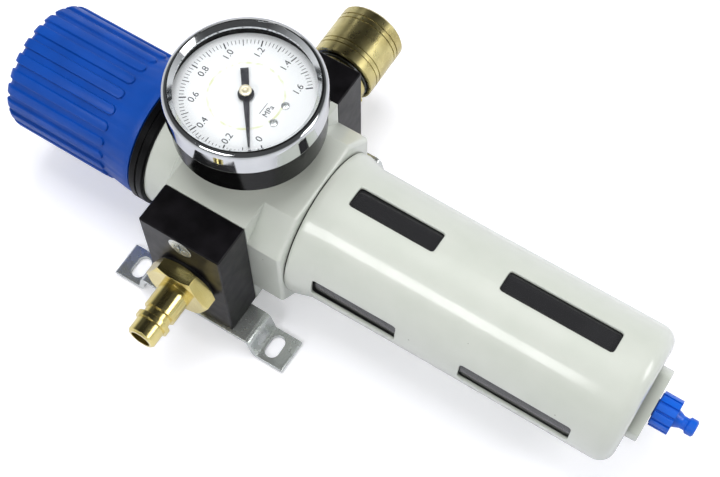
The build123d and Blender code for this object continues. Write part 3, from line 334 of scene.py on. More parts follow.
@dataclass(frozen=True)
class PrintedDial(Finish):
    """White lacquered tin with a pale, worn yellow-green ring printed round the middle."""

    ring_mm: float = 12.1
    ring_width_mm: float = 0.5
    ring_colour: str = "#E4E8B4"
    ring_share: float = 0.85
    wear_mm: float = 2.2
    wear_edge: Pair = (0.38, 0.6)
    peel_mm: float = 0.8
    peel_depth_mm: float = 0.005

    def dress(self, on: Surface) -> None:
        """A ring where the distance from the dial's middle is right, worn away in patches."""
        flat = add_node(on.tree, "ShaderNodeVectorMath", {1: (1.0, 0.0, 1.0)}, {0: on.place},
                        operation="MULTIPLY")
        radius = add_node(on.tree, "ShaderNodeVectorMath", links={0: flat.outputs["Vector"]},
                          operation="LENGTH")
        off = add_node(on.tree, "ShaderNodeMath", {1: self.ring_mm * MM}, {0: radius.outputs["Value"]},
                       operation="SUBTRACT")
        away = add_node(on.tree, "ShaderNodeMath", links={0: off.outputs[0]}, operation="ABSOLUTE")
        line = self.ring_width_mm * MM
        inked = map_range(on.tree, away.outputs[0], (line / 2, line), (self.ring_share, 0.0))
        worn = map_range(on.tree, on.noise(self.wear_mm), self.wear_edge, (0.0, 1.0))
        patchy = add_node(on.tree, "ShaderNodeMath", links={0: inked, 1: worn}, operation="MULTIPLY")
        on.feed("Base Color", on.mix(patchy.outputs[0], self.colour, self.ring_colour))
        self.relief(on, on.noise(self.peel_mm), self.peel_depth_mm)


# Stove enamel: a light grey with a hint of green, glossy like porcelain
ENAMEL = CastEnamel("stove_enamel_light_grey", "#D0D4CC", 0.34, coat=0.7, coat_roughness=0.10, edge_mm=0.7)
# Hard black anodising on milled aluminium: deep black with a satin sheen
ANODISED = MachinedMetal("black_anodised_aluminium", "#0B0A0C", 0.36, coat=0.04, coat_roughness=0.25,
                         specular=0.16, edge_mm=0.25, grain=Direction.ALONG_Z, streak_mm=0.3,
                         depth_mm=0.004, other="#1E1C20", share=0.6)
# Bright zinc plating on steel: cool silver, a little blotchy
ZINC = MachinedMetal("zinc_plated_steel", "#D9DCDA", 0.26, metallic=0.8, edge_mm=0.25, streak_mm=0.4,
                     depth_mm=0.006, other="#C2CACA")
# Free-cutting brass, turned and polished: strong yellow with fine turning rings
BRASS = MachinedMetal("turned_brass", "#E8D995", 0.20, metallic=1.0, edge_mm=0.15, streak_mm=0.3,
                      depth_mm=0.004, other="#CDB766")
# Brass under a greenish lacquer: paler and duller than the plug
LACQUERED_BRASS = MachinedMetal("lacquered_brass", "#DACE92", 0.29, metallic=1.0, edge_mm=0.15,
                                streak_mm=0.3, depth_mm=0.006, other="#9A8850")
# Fine turned brass of the pointer's bush: pale and clean
PALE_BRASS = MachinedMetal("pale_turned_brass", "#F2ECD6", 0.30, metallic=0.6, streak_mm=0.2,
                           depth_mm=0.002, other="#D9CB9C", share=0.4)
# Chromium plating on drawn steel: a dark clear mirror
CHROME = MachinedMetal("chrome_plate", "#D8DADC", 0.06, metallic=1.0, edge_mm=0.2, streak_mm=2.0,
                       depth_mm=0.002, other="#C6C9CC", share=0.4)
# Black baked lacquer on the gauge's drawn steel cup
CASE_LACQUER = MouldedPlastic("black_baked_lacquer", "#050505", 0.16, specular=0.12, grain_mm=1.2,
                              other="#0C0C0C")
# Glass-filled nylon, black: satin with a fine grain
BLACK_NYLON = MouldedPlastic("black_nylon", "#060607", 0.34, edge_mm=0.3, specular=0.14, other="#0C0C0D")
# Blue acetal: strong cool blue, satin
BLUE_ACETAL = MouldedPlastic("blue_acetal", "#0549AA", 0.40, specular=0.30, other="#043E94", share=0.6)
# The same plastic in a purer blue, as on the small drain screw
BRIGHT_ACETAL = MouldedPlastic("bright_blue_acetal", "#0762DA", 0.34, edge_mm=0.2, other="#0850B8")
# Nitrile rubber: dull black
RUBBER = MouldedPlastic("nitrile_rubber", "#151515", 0.7, grain_mm=0.5, other="#202020")
# Ground spring and fastener steel under oil
STEEL = MachinedMetal("oiled_steel", "#8C8F92", 0.3, metallic=1.0, edge_mm=0.15, other="#6F7276")
# Sintered filter sleeve, off-white polyethylene beads
FILTER = SinteredBeads("sintered_filter", "#CFCCC2", 0.8)
# Polycarbonate of the bowl, tinted dark grey; the tint also paints the shade that falls inside the guard,
# seen through its windows
SHADE_TINTED_PLASTIC = ClearPlastic("shade_tinted_polycarbonate", "#58585B", 0.05, through=0.75)
# Clear acrylic window of the gauge
CLEAR = ClearPlastic("clear_acrylic", "#F6F8FA", 0.02, ior=1.49)
# White lacquered dial tin
DIAL = PrintedDial("dial_lacquer", "#FDFEFF", 0.55)
# Screen-printing ink on the dial
INK = MouldedPlastic("dial_ink", "#3B3C42", 0.6, grain_mm=0.4, other="#55565C", share=0.4)
# Black lacquer on the pointer's sheet
POINTER = MouldedPlastic("pointer_lacquer", "#34343A", 0.35, grain_mm=0.6, other="#2A2A2E")

NODE_FINISH: dict[str, Finish] = {
    "body_casting": ENAMEL, "bowl_guard": ENAMEL, "inlet_plate": ANODISED, "outlet_plate": ANODISED,
    "plate_screws": ZINC, "plate_seals": RUBBER, "inlet_bracket": ZINC, "outlet_bracket": ZINC,
    "bracket_screws": ZINC, "inlet_nipple": BRASS, "inlet_washer": RUBBER, "outlet_washer": RUBBER,
    "coupling_body": LACQUERED_BRASS, "coupling_balls": STEEL, "coupling_sleeve": LACQUERED_BRASS,
    "coupling_ring": STEEL, "sleeve_spring": STEEL, "coupling_valve": LACQUERED_BRASS,
    "coupling_valve_spring": STEEL, "gauge_socket": LACQUERED_BRASS, "gauge_case": CASE_LACQUER,
    "gauge_bezel": CHROME, "gauge_window": CLEAR, "gauge_dial": DIAL, "gauge_movement": LACQUERED_BRASS,
    "gauge_pointer": POINTER, "bourdon_tube": LACQUERED_BRASS, "rear_plug": ZINC, "bonnet": BLACK_NYLON,
    "bonnet_ring": BLACK_NYLON, "knob": BLUE_ACETAL, "adjusting_screw": ZINC, "spring_nut": LACQUERED_BRASS,
    "diaphragm": RUBBER, "pressure_plate": ZINC, "main_spring": STEEL, "valve_seat": LACQUERED_BRASS,
    "valve_poppet": LACQUERED_BRASS, "filter_holder": BLACK_NYLON, "valve_spring": STEEL,
    "filter_element": FILTER, "filter_retainer": BLACK_NYLON, "bowl": SHADE_TINTED_PLASTIC, "bowl_seal": RUBBER,
    "drain_seal": RUBBER, "drain_screw": BRIGHT_ACETAL,
}


def paint(piece: bpy.types.Object, finish: Finish) -> None:
    """Give a piece one finish all over."""
    piece.data.materials.clear()
    piece.data.materials.append(finish.material())


def clear_selection() -> None:
    """Deselect everything, so that operators act only on the new piece."""
    bpy.ops.object.select_all(action="DESELECT")


def settle(piece: bpy.types.Object, name: str, finish: Finish, body: str,
           smooth_deg: float = 35.0) -> bpy.types.Object:
    """Finish a new piece: place in its mesh, name, shading, material and the body it rides on.

    Args:
        piece: the object, in place.
        name: its name.
        finish: its finish.
        body: the CAD body that carries it.
        smooth_deg: edges flatter than this are shaded smooth.

    Returns:
        The same object.
    """
    clear_selection()
    piece.select_set(True)
    bpy.context.view_layer.objects.active = piece
    bpy.ops.object.transform_apply(location=True, rotation=True, scale=True)
    bpy.ops.object.shade_smooth_by_angle(angle=math.radians(smooth_deg))
    piece.name = name
    piece.data.name = name
    paint(piece, finish)
    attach(piece, body)
    return piece


def join(pieces: list[bpy.types.Object]) -> bpy.types.Object:
    """Join several new pieces into the first of them.

    Args:
        pieces: the pieces.

    Returns:
        The first one, which now holds them all.
    """
    clear_selection()
    for piece in pieces:
        piece.select_set(True)
    bpy.context.view_layer.objects.active = pieces[0]
    bpy.ops.object.join()
    return pieces[0]


def arc(centre: Pair, radius: float, start_deg: float, end_deg: float, steps: int) -> Profile:
    """Points of a round stretch of a profile.

    Args:
        centre: radius and height of the arc's centre, in millimetres.
        radius: the arc's own radius.
        start_deg: where it starts, counted from straight out towards up.
        end_deg: where it ends.
        steps: number of straight pieces.

    Returns:
        Pairs of radius and height, both ends included.
    """
    turns = [math.radians(start_deg + (end_deg - start_deg) * i / steps) for i in range(steps + 1)]
    return [(centre[0] + radius * math.cos(t), centre[1] + radius * math.sin(t)) for t in turns]


def revolve(profile: Profile, segments: int) -> bpy.types.Object:
    """Grow a skin round the main axis, ring by ring, and leave it in edit mode.

    Args:
        profile: pairs of radius and height, in millimetres.
        segments: faces round the axis.

    Returns:
        The new object.
    """
    clear_selection()
    (radius, height), *others = profile
    bpy.ops.mesh.primitive_circle_add(vertices=segments, radius=radius * MM,
                                      location=(0.0, -WALL_OFFSET * MM, height * MM))
    bpy.ops.object.transform_apply(location=True, rotation=True, scale=True)
    bpy.ops.object.mode_set(mode="EDIT")
    bpy.ops.mesh.select_all(action="SELECT")
    for next_radius, next_height in others:
        rise = (0.0, 0.0, (next_height - height) * MM)
        bpy.ops.mesh.extrude_region_move(TRANSFORM_OT_translate={"value": rise})
        share = next_radius / radius
        bpy.ops.transform.resize(value=(share, share, 1.0), center_override=(0.0, -WALL_OFFSET * MM, 0.0))
        radius, height = next_radius, next_height
    return bpy.context.object


def place_of(point: Vector) -> tuple[float, float, float]:
    """Radius and height in millimetres and the angle from the front towards the outlet, in degrees."""
    x, y = point.x / MM, point.y / MM + WALL_OFFSET
    return math.hypot(x, y), point.z / MM, math.degrees(math.atan2(x, -y))


def choose(piece: bpy.types.Object, mode: str, test: Callable[[object], bool]) -> int:
    """Select the faces, edges or vertices of a piece in edit mode that pass a test.

    Args:
        piece: the object, in edit mode.
        mode: FACE, EDGE or VERT.
        test: takes a mesh element and says whether it is wanted.

    Returns:
        How many were selected.
    """
    bpy.ops.mesh.select_mode(type=mode)
    bpy.ops.mesh.select_all(action="DESELECT")
    bpy.ops.object.mode_set(mode="OBJECT")
    elements = {"FACE": piece.data.polygons, "EDGE": piece.data.edges, "VERT": piece.data.vertices}[mode]
    found = 0
    for element in elements:
        element.select = test(element)
        found += element.select
    bpy.ops.object.mode_set(mode="EDIT")
    return found


def round_sharp_edges(width_mm: float, sharp_deg: float) -> None:
    """Bevel the edges of the piece in edit mode.

    Args:
        width_mm: width of the bevel.
        sharp_deg: edges flatter than this are left.
    """
    bpy.ops.mesh.select_mode(type="EDGE")
    bpy.ops.mesh.select_all(action="DESELECT")
    bpy.ops.mesh.edges_select_sharp(sharpness=math.radians(sharp_deg))
    bpy.ops.mesh.bevel(offset=width_mm * MM, segments=2, affect="EDGES", clamp_overlap=True)


def face_outwards() -> None:
    """Merge doubles and turn the normals of the piece in edit mode outwards."""
    bpy.ops.mesh.select_all(action="SELECT")
    bpy.ops.mesh.remove_doubles(threshold=MERGE_MM * MM)
    bpy.ops.mesh.normals_make_consistent(inside=False)
    bpy.ops.object.mode_set(mode="OBJECT")


@dataclass
class Knob:
    """Ribbed adjusting knob with a plain flared skirt."""

    ribs: int = 24
    segments: int = 240
    rib_half_deg: float = 4.5
    rib_height: float = 0.95
    rib_draft: float = 0.15
    rib_start: float = 49.0
    foot_rise: float = 1.4
    foot_shares: tuple[float, ...] = (1.0, 0.3, 0.05)   # of the rise, from a rib's side inwards
    bottom: float = 37.6
    skirt_radius: float = 24.7
    skirt_land: float = 2.5
    groove_radius: float = 23.4
    crown_round: float = 3.0
    crown_steps: int = 6
    crown_top: float = 91.4
    crown_share_deg: float = 60.0
    inner_radius: float = 19.4
    inner_top: float = 88.5
    least_wall: float = 0.5
    edge: float = 0.3
    sharp_deg: float = 40.0

    def rib_angle(self, angle: float) -> float:
        """Angle from the middle of the nearest rib."""
        pitch = 360.0 / self.ribs
        return (angle + pitch / 2) % pitch - pitch / 2

    def is_outside(self, radius: float) -> bool:
        """Whether a radius belongs to the outer skin."""
        return radius > self.inner_radius + self.least_wall

    def on_rib(self, face: bpy.types.MeshPolygon) -> bool:
        """Whether a face of the plain skin lies under a rib.

        Args:
            face: the face.

        Returns:
            True where it does.
        """
        radius, height, angle = place_of(face.center)
        rib_end = self.crown_top - self.crown_round * (1 - math.sin(math.radians(self.crown_share_deg)))
        return (abs(self.rib_angle(angle)) < self.rib_half_deg and self.rib_start < height < rib_end
                and self.is_outside(radius))

    def at_rib_foot(self, vertex: bpy.types.MeshVertex, column: float, spread: float) -> bool:
        """Whether a vertex is on the lower end of a rib, in the column at this angle from its middle."""
        radius, height, angle = place_of(vertex.co)
        return (abs(height - self.rib_start) < 0.1 and abs(abs(self.rib_angle(angle)) - column) < spread
                and self.is_outside(radius))

    def build(self) -> bpy.types.Object:
        """Grow the skin, raise the ribs and round every edge.

        Returns:
            The knob.
        """
        crown = arc((self.groove_radius - self.crown_round, self.crown_top - self.crown_round),
                    self.crown_round, 0.0, 90.0, self.crown_steps)
        piece = revolve([(self.inner_radius, self.inner_top), (self.inner_radius, self.bottom),
                         (self.skirt_radius, self.bottom), (self.skirt_radius, self.bottom + self.skirt_land),
                         (self.groove_radius, self.rib_start), *crown,
                         (self.inner_radius / 2, self.crown_top)], self.segments)
        bpy.ops.mesh.select_all(action="SELECT")
        bpy.ops.mesh.fill_holes(sides=0)
        bpy.ops.mesh.normals_make_consistent(inside=False)
        step = 360.0 / self.segments
        for i, share in enumerate(self.foot_shares):
            choose(piece, "VERT", lambda v: self.at_rib_foot(v, self.rib_half_deg - i * step, step / 4))
            bpy.ops.transform.translate(value=(0.0, 0.0, self.foot_rise * share * MM))
        choose(piece, "FACE", self.on_rib)
        bpy.ops.mesh.inset(thickness=self.rib_draft * MM, depth=self.rib_height * MM, use_even_offset=True)
        round_sharp_edges(self.edge, self.sharp_deg)
        face_outwards()
        return settle(piece, "ribbed_knob", BLUE_ACETAL, "cap", 30.0)


@dataclass
class BowlGuard:
    """Cast sleeve round the bowl with two rows of sight windows."""

    segments: int = 144
    wall: float = 1.1
    neck: Pair = (23.1, -20.3)
    collar_radius: float = 26.6
    top: float = -28.4
    body_bottom: float = -28.0
    seam_inset: float = 0.5
    collar_bottom: float = -31.2
    flare: Pair = (24.9, -37.2)
    taper_end: Pair = (24.5, -82.2)
    bottom: float = -149.5
    bottom_round: float = 5.6
    bottom_steps: int = 7
    boss_hole: float = 13.3
    windows: tuple[Pair, ...] = ((-38.1, -70.2), (-94.2, -134.7))
    window_pitch_deg: float = 90.0
    window_half_deg: float = 10.0
    turn_deg: float = 6.3
    window_corner: float = 1.4
    corner_steps: int = 4
    near_mm: float = 0.5
    near_deg: float = 0.6
    edge: float = 0.35
    sharp_deg: float = 38.0

    def radius_at(self, height: float) -> float:
        """Outer radius of the slightly tapered wall."""
        share = min(max((self.flare[1] - height) / (self.flare[1] - self.taper_end[1]), 0.0), 1.0)
        return self.flare[0] + (self.taper_end[0] - self.flare[0]) * share

    def window_angle(self, angle: float) -> float:
        """Angle from the middle of the nearest window."""
        half = self.window_pitch_deg / 2
        return (angle + half) % self.window_pitch_deg - half

    def in_window(self, face: bpy.types.MeshPolygon) -> bool:
        """Whether a face of the skin is to be cut out."""
        _, height, angle = place_of(face.center)
        return abs(self.window_angle(angle)) < self.window_half_deg and any(
            low < height < high for high, low in self.windows)

    def at_window_corner(self, piece: bpy.types.Object, edge: bpy.types.MeshEdge) -> bool:
        """Whether an edge crosses the wall at a window's corner.

        Args:
            piece: the guard.
            edge: one of its edges.

        Returns:
            True where it does.
        """
        ends = [place_of(piece.data.vertices[i].co) for i in edge.vertices]
        (radius_a, height_a, angle_a), (radius_b, height_b, _) = ends
        crosses = abs(radius_a - radius_b) > self.near_mm and abs(height_a - height_b) < self.near_mm
        at_side = abs(abs(self.window_angle(angle_a)) - self.window_half_deg) < self.near_deg
        return crosses and at_side and any(abs(height_a - level) < self.near_mm
                                           for window in self.windows for level in window)

    def build(self) -> bpy.types.Object:
        """Grow the skin, cut the windows, give it its wall and turn the windows to their place.

        Returns:
            The guard.
        """
        foot = arc((self.taper_end[0] - self.bottom_round, self.bottom + self.bottom_round),
                   self.bottom_round, 0.0, -90.0, self.bottom_steps)
        levels = [(self.radius_at(level), level) for window in self.windows for level in window]
        piece = revolve([self.neck, (self.neck[0], self.top), (self.collar_radius, self.top),
                         (self.collar_radius, self.collar_bottom), self.flare, *levels[:2], self.taper_end,
                         *levels[2:], *foot, (self.boss_hole, self.bottom)], self.segments)
        choose(piece, "FACE", self.in_window)
        bpy.ops.mesh.delete(type="FACE")
        bpy.ops.mesh.select_all(action="SELECT")
        bpy.ops.mesh.normals_make_consistent(inside=False)
        bpy.ops.object.mode_set(mode="OBJECT")
        wall = piece.modifiers.new("wall", "SOLIDIFY")
        wall.thickness = self.wall * MM
        wall.offset = -1.0
        wall.use_even_offset = True
        bpy.ops.object.modifier_apply(modifier=wall.name)
        bpy.ops.object.mode_set(mode="EDIT")
        corners = choose(piece, "EDGE", lambda edge: self.at_window_corner(piece, edge))
        log.info("guard window corners: %d", corners)
        bpy.ops.mesh.bevel(offset=self.window_corner * MM, segments=self.corner_steps, affect="EDGES")
        round_sharp_edges(self.edge, self.sharp_deg)
        bpy.ops.mesh.select_all(action="SELECT")
        bpy.ops.transform.rotate(value=-math.radians(self.turn_deg), orient_axis="Z",
                                 center_override=(0.0, -WALL_OFFSET * MM, 0.0))
        face_outwards()
        return settle(piece, "windowed_guard", ENAMEL, "bowl_unit", 30.0)

    def seam(self) -> bpy.types.Object:
        """Build the thin dark gasket between the body and the guard's collar.

        Returns:
            The gasket.
        """
        inner, outer = self.neck[0], self.collar_radius - self.seam_inset
        piece = revolve([(inner, self.top), (outer, self.top), (outer, self.body_bottom),
                         (inner, self.body_bottom), (inner, self.top)], self.segments)
        face_outwards()
        return settle(piece, "guard_gasket", RUBBER, "bowl_unit")


@dataclass
class Bowl:
    """Dark grey cup close behind the guard's windows, its tint painting the shade inside the guard, with the
    light boss that carries the drain.
    """

    segments: int = 96
    neck_radius: float = 20.9
    neck_inner: float = 18.6
    top: float = -21.6
    shoulder: Pair = (-33.0, -36.0)
    radius: float = 23.15
    wall: float = 2.0
    floor: float = -147.1
    floor_thickness: float = 2.8
    bottom_round: float = 5.0
    bottom_steps: int = 6
    drain_hole: float = 3.1
    boss_radius: float = 13.0
    boss_half_width: float = 7.5
    boss_bottom: float = -153.5
    boss_gap: float = 0.3
    boss_turn_deg: float = -25.0
    boss_bevel: float = 0.6
    boss_sharp_deg: float = 50.0

    def cup(self) -> bpy.types.Object:
        """Build the cup: outside, floor and inside as one closed skin.

        Returns:
            The cup.
        """
        upper, lower = self.shoulder
        inner = self.radius - self.wall
        inner_floor = self.floor + self.floor_thickness
        outside = arc((self.radius - self.bottom_round, self.floor + self.bottom_round), self.bottom_round,
                      0.0, -90.0, self.bottom_steps)
        small = self.bottom_round - self.wall
        inside = arc((inner - small, inner_floor + small), small, -90.0, 0.0, self.bottom_steps)
        piece = revolve([(self.neck_inner, self.top), (self.neck_radius, self.top),
                         (self.neck_radius, upper), (self.radius, lower), *outside,
                         (self.drain_hole, self.floor), (self.drain_hole, inner_floor), *inside,
                         (inner, lower), (self.neck_inner, upper), (self.neck_inner, self.top)],
                        self.segments)
        face_outwards()
        # the cup's dark grey tint stands in partly for the shade inside the guard
        return settle(piece, "shade_tinted_cup", SHADE_TINTED_PLASTIC, "bowl_unit", 30.0)

    def boss(self) -> bpy.types.Object:
        """Build the flatted boss below the guard.

        Returns:
            The boss.
        """
        boss_top = self.floor - self.boss_gap
        piece = revolve([(self.drain_hole, boss_top), (self.drain_hole, self.boss_bottom),
                         (self.boss_radius, self.boss_bottom), (self.boss_radius, boss_top),
                         (self.drain_hole, boss_top)], self.segments)
        bpy.ops.mesh.select_all(action="SELECT")
        bpy.ops.mesh.remove_doubles(threshold=MERGE_MM * MM)
        turn = math.radians(self.boss_turn_deg)
        across = Vector((-math.sin(turn), math.cos(turn), 0.0))
        middle = Vector((0.0, -WALL_OFFSET * MM, 0.0))
        for side in (1, -1):
            bpy.ops.mesh.select_all(action="SELECT")
            bpy.ops.mesh.bisect(plane_co=middle + across * side * self.boss_half_width * MM,
                                plane_no=across * side, use_fill=True, clear_outer=True)
        round_sharp_edges(self.boss_bevel, self.boss_sharp_deg)
        face_outwards()
        return settle(piece, "drain_boss", ENAMEL, "bowl_unit", 30.0)


@dataclass
class GaugePrint:
    """What sits on the dial: tick marks, numbers, unit line, two fixing screws and the pointer's bush."""

    face_mm: float = 55.6
    ink_mm: float = 0.06
    zero_deg: float = 41.4
    step_deg: float = 34.85
    labels: tuple[str, ...] = ("0", "0.2", "0.4", "0.6", "0.8", "1.0", "1.2", "1.4", "1.6")
    ticks_per_label: int = 10
    tick_outer_mm: float = 20.9
    minor_tick: Pair = (0.18, 1.5)    # width and length
    middle_tick: Pair = (0.26, 2.3)
    major_tick: Pair = (0.42, 2.3)
    number_radius_mm: float = 16.3
    number_height_mm: float = 2.3
    unit: str = "MPa"
    unit_place: Pair = (-1.1, -9.1)
    unit_height_mm: float = 1.9
    rule_lift_mm: float = 1.9
    rule: Pair = (4.6, 0.18)
    screw_places: tuple[Pair, ...] = ((3.2, -12.5), (-3.8, -12.8))
    screw_radius_mm: float = 1.3
    screw_head_mm: float = 0.5
    screw_edge_mm: float = 0.08
    screw_sharp_deg: float = 60.0
    slot_mm: float = 0.35
    slot_deg: Pair = (25.0, 65.0)
    hub_mm: float = 58.75
    hub_height_mm: float = 0.9
    hub_radius_mm: float = 2.0
    hub_rim_mm: float = 1.2
    hub_dish_mm: float = 0.35
    hub_edge_mm: float = 0.12
    hub_sharp_deg: float = 50.0

    def face_y(self) -> float:
        """The ink's middle plane, in the row frame."""
        return -(self.face_mm + WALL_OFFSET + self.ink_mm / 2) * MM

    def towards(self, degrees: float) -> Vector:
        """Direction on the dial, counted from straight down towards the inlet."""
        angle = math.radians(degrees)
        return Vector((-math.sin(angle), 0.0, -math.cos(angle)))

    def bar(self, spot: Pair, sides: Pair,
            degrees: float = 0.0) -> bpy.types.Object:
        """Print a straight bar.

        Args:
            spot: its middle, across and up, in millimetres.
            sides: its size across and up before it is turned.
            degrees: its turn on the dial.

        Returns:
            The bar.
        """
        clear_selection()
        bpy.ops.mesh.primitive_cube_add(size=1.0, location=(spot[0] * MM, self.face_y(), spot[1] * MM),
                                        rotation=(0.0, math.radians(degrees), 0.0))
        made = bpy.context.object
        made.scale = (sides[0] * MM, self.ink_mm * MM, sides[1] * MM)
        return made

    def tick(self, number: int) -> bpy.types.Object:
        """Print one tick mark, which ends at the outer tick radius.

        Args:
            number: which one, counted from zero.

        Returns:
            The mark.
        """
        if number % self.ticks_per_label == 0:
            sides = self.major_tick
        elif number % (self.ticks_per_label // 2) == 0:
            sides = self.middle_tick
        else:
            sides = self.minor_tick
        degrees = self.zero_deg + number * self.step_deg / self.ticks_per_label
        middle = self.towards(degrees) * (self.tick_outer_mm - sides[1] / 2)
        return self.bar((middle.x, middle.z), sides, degrees)

    def letters(self, text: str, spot: Pair, height_mm: float) -> bpy.types.Object:
        """Print upright letters.

        Args:
            text: what they say.
            spot: their middle, across and up, in millimetres.
            height_mm: height of a capital letter.

        Returns:
            The letters as a mesh.
        """
        clear_selection()
        bpy.ops.object.text_add(location=(spot[0] * MM, self.face_y(), spot[1] * MM),
                                rotation=(math.pi / 2, 0.0, 0.0))
        made = bpy.context.object
        made.data.body = text
        made.data.size = height_mm * MM / CAPITAL_SHARE
        made.data.align_x = "CENTER"
        made.data.align_y = "CENTER"
        made.data.extrude = self.ink_mm * MM / 2
        bpy.ops.object.convert(target="MESH")
        return bpy.context.object

    def number(self, text: str, degrees: float) -> bpy.types.Object:
        """Print one number, upright on the gauge."""
        spot = self.towards(degrees) * self.number_radius_mm
        return self.letters(text, (spot.x, spot.z), self.number_height_mm)

    def build(self) -> list[bpy.types.Object]:
        """Make the print, the screws and the bush.

        Returns:
            The pieces.
        """
        last = (len(self.labels) - 1) * self.ticks_per_label
        ticks = settle(join([self.tick(i) for i in range(last + 1)]), "dial_ticks", INK, "base")
        numbers = [self.number(text, self.zero_deg + i * self.step_deg)
                   for i, text in enumerate(self.labels)]
        figures = settle(join(numbers), "dial_numbers", INK, "base")
        unit = self.letters(self.unit, self.unit_place, self.unit_height_mm)
        across, up = self.unit_place
        rule = self.bar((across, up + self.rule_lift_mm), self.rule)
        unit_line = settle(join([unit, rule]), "dial_unit", INK, "base")
        screws = [self.screw(i) for i in range(len(self.screw_places))]
        return [ticks, figures, unit_line, *screws, self.hub()]

    def screw(self, number: int) -> bpy.types.Object:
        """Build one of the small slotted screws that hold the dial.

        Args:
            number: which one, counted from zero.

        Returns:
            The screw.
        """
        across, up = (length * MM for length in self.screw_places[number])
        head_mm = self.screw_head_mm
        clear_selection()
        bpy.ops.mesh.primitive_cylinder_add(
            vertices=32, radius=self.screw_radius_mm * MM, depth=head_mm * MM,
            location=(across, self.face_y() - head_mm / 2 * MM, up), rotation=(math.pi / 2, 0.0, 0.0))
        head = bpy.context.object
        clear_selection()
        bpy.ops.mesh.primitive_cube_add(size=1.0, location=(across, self.face_y() - head_mm * MM, up),
                                        rotation=(0.0, math.radians(self.slot_deg[number]), 0.0))
        slot = bpy.context.object
        slot.scale = (self.slot_mm * MM, head_mm * MM, 3 * self.screw_radius_mm * MM)
        cut = head.modifiers.new("slot", "BOOLEAN")
        cut.operation = "DIFFERENCE"
        cut.object = slot
        clear_selection()
        head.select_set(True)
        bpy.context.view_layer.objects.active = head
        bpy.ops.object.modifier_apply(modifier=cut.name)
        bpy.data.objects.remove(slot)
        bpy.ops.object.mode_set(mode="EDIT")
        round_sharp_edges(self.screw_edge_mm, self.screw_sharp_deg)
        bpy.ops.object.mode_set(mode="OBJECT")
        return settle(head, f"dial_screw_{number + 1}", ZINC, "base")

    def hub(self) -> bpy.types.Object:
        """Build the turned brass bush in the middle of the pointer, with its dished end.

        Returns:
            The bush.
        """
        clear_selection()
        bpy.ops.mesh.primitive_cylinder_add(
            vertices=40, radius=self.hub_radius_mm * MM, depth=self.hub_height_mm * MM,
            location=(0.0, -(WALL_OFFSET + self.hub_mm) * MM, 0.0), rotation=(math.pi / 2, 0.0, 0.0))
        piece = bpy.context.object
        bpy.ops.object.transform_apply(location=True, rotation=True, scale=True)
        bpy.ops.object.mode_set(mode="EDIT")
        choose(piece, "FACE", lambda face: face.normal.y < -0.9)
        bpy.ops.mesh.inset(thickness=self.hub_rim_mm * MM)
        bpy.ops.mesh.inset(thickness=self.hub_edge_mm * MM, depth=-self.hub_dish_mm * MM)
        round_sharp_edges(self.hub_edge_mm, self.hub_sharp_deg)
        bpy.ops.object.mode_set(mode="OBJECT")
        return settle(piece, "pointer_bush", PALE_BRASS, "pointer")


@dataclass(frozen=True)
class Lamp:
    """A soft rectangular lamp: its place and sides in metres, and whether glossy surfaces show it."""

    name: str
    place: Point
    sides: Pair
    watts: float
    mirrored: bool = True

    def build(self, aim: Vector) -> None:
        """Put the lamp up.

        Args:
            aim: the point that it faces.
        """
        data = bpy.data.lights.new(self.name, "AREA")
        data.shape = "RECTANGLE"
        data.size, data.size_y = self.sides
        data.energy = self.watts
        made = bpy.data.objects.new(self.name, data)
        bpy.context.scene.collection.objects.link(made)
        made.location = self.place
        made.rotation_mode = "QUATERNION"
        made.rotation_quaternion = (aim - Vector(self.place)).to_track_quat("-Z", "Y")
        made.visible_glossy = self.mirrored


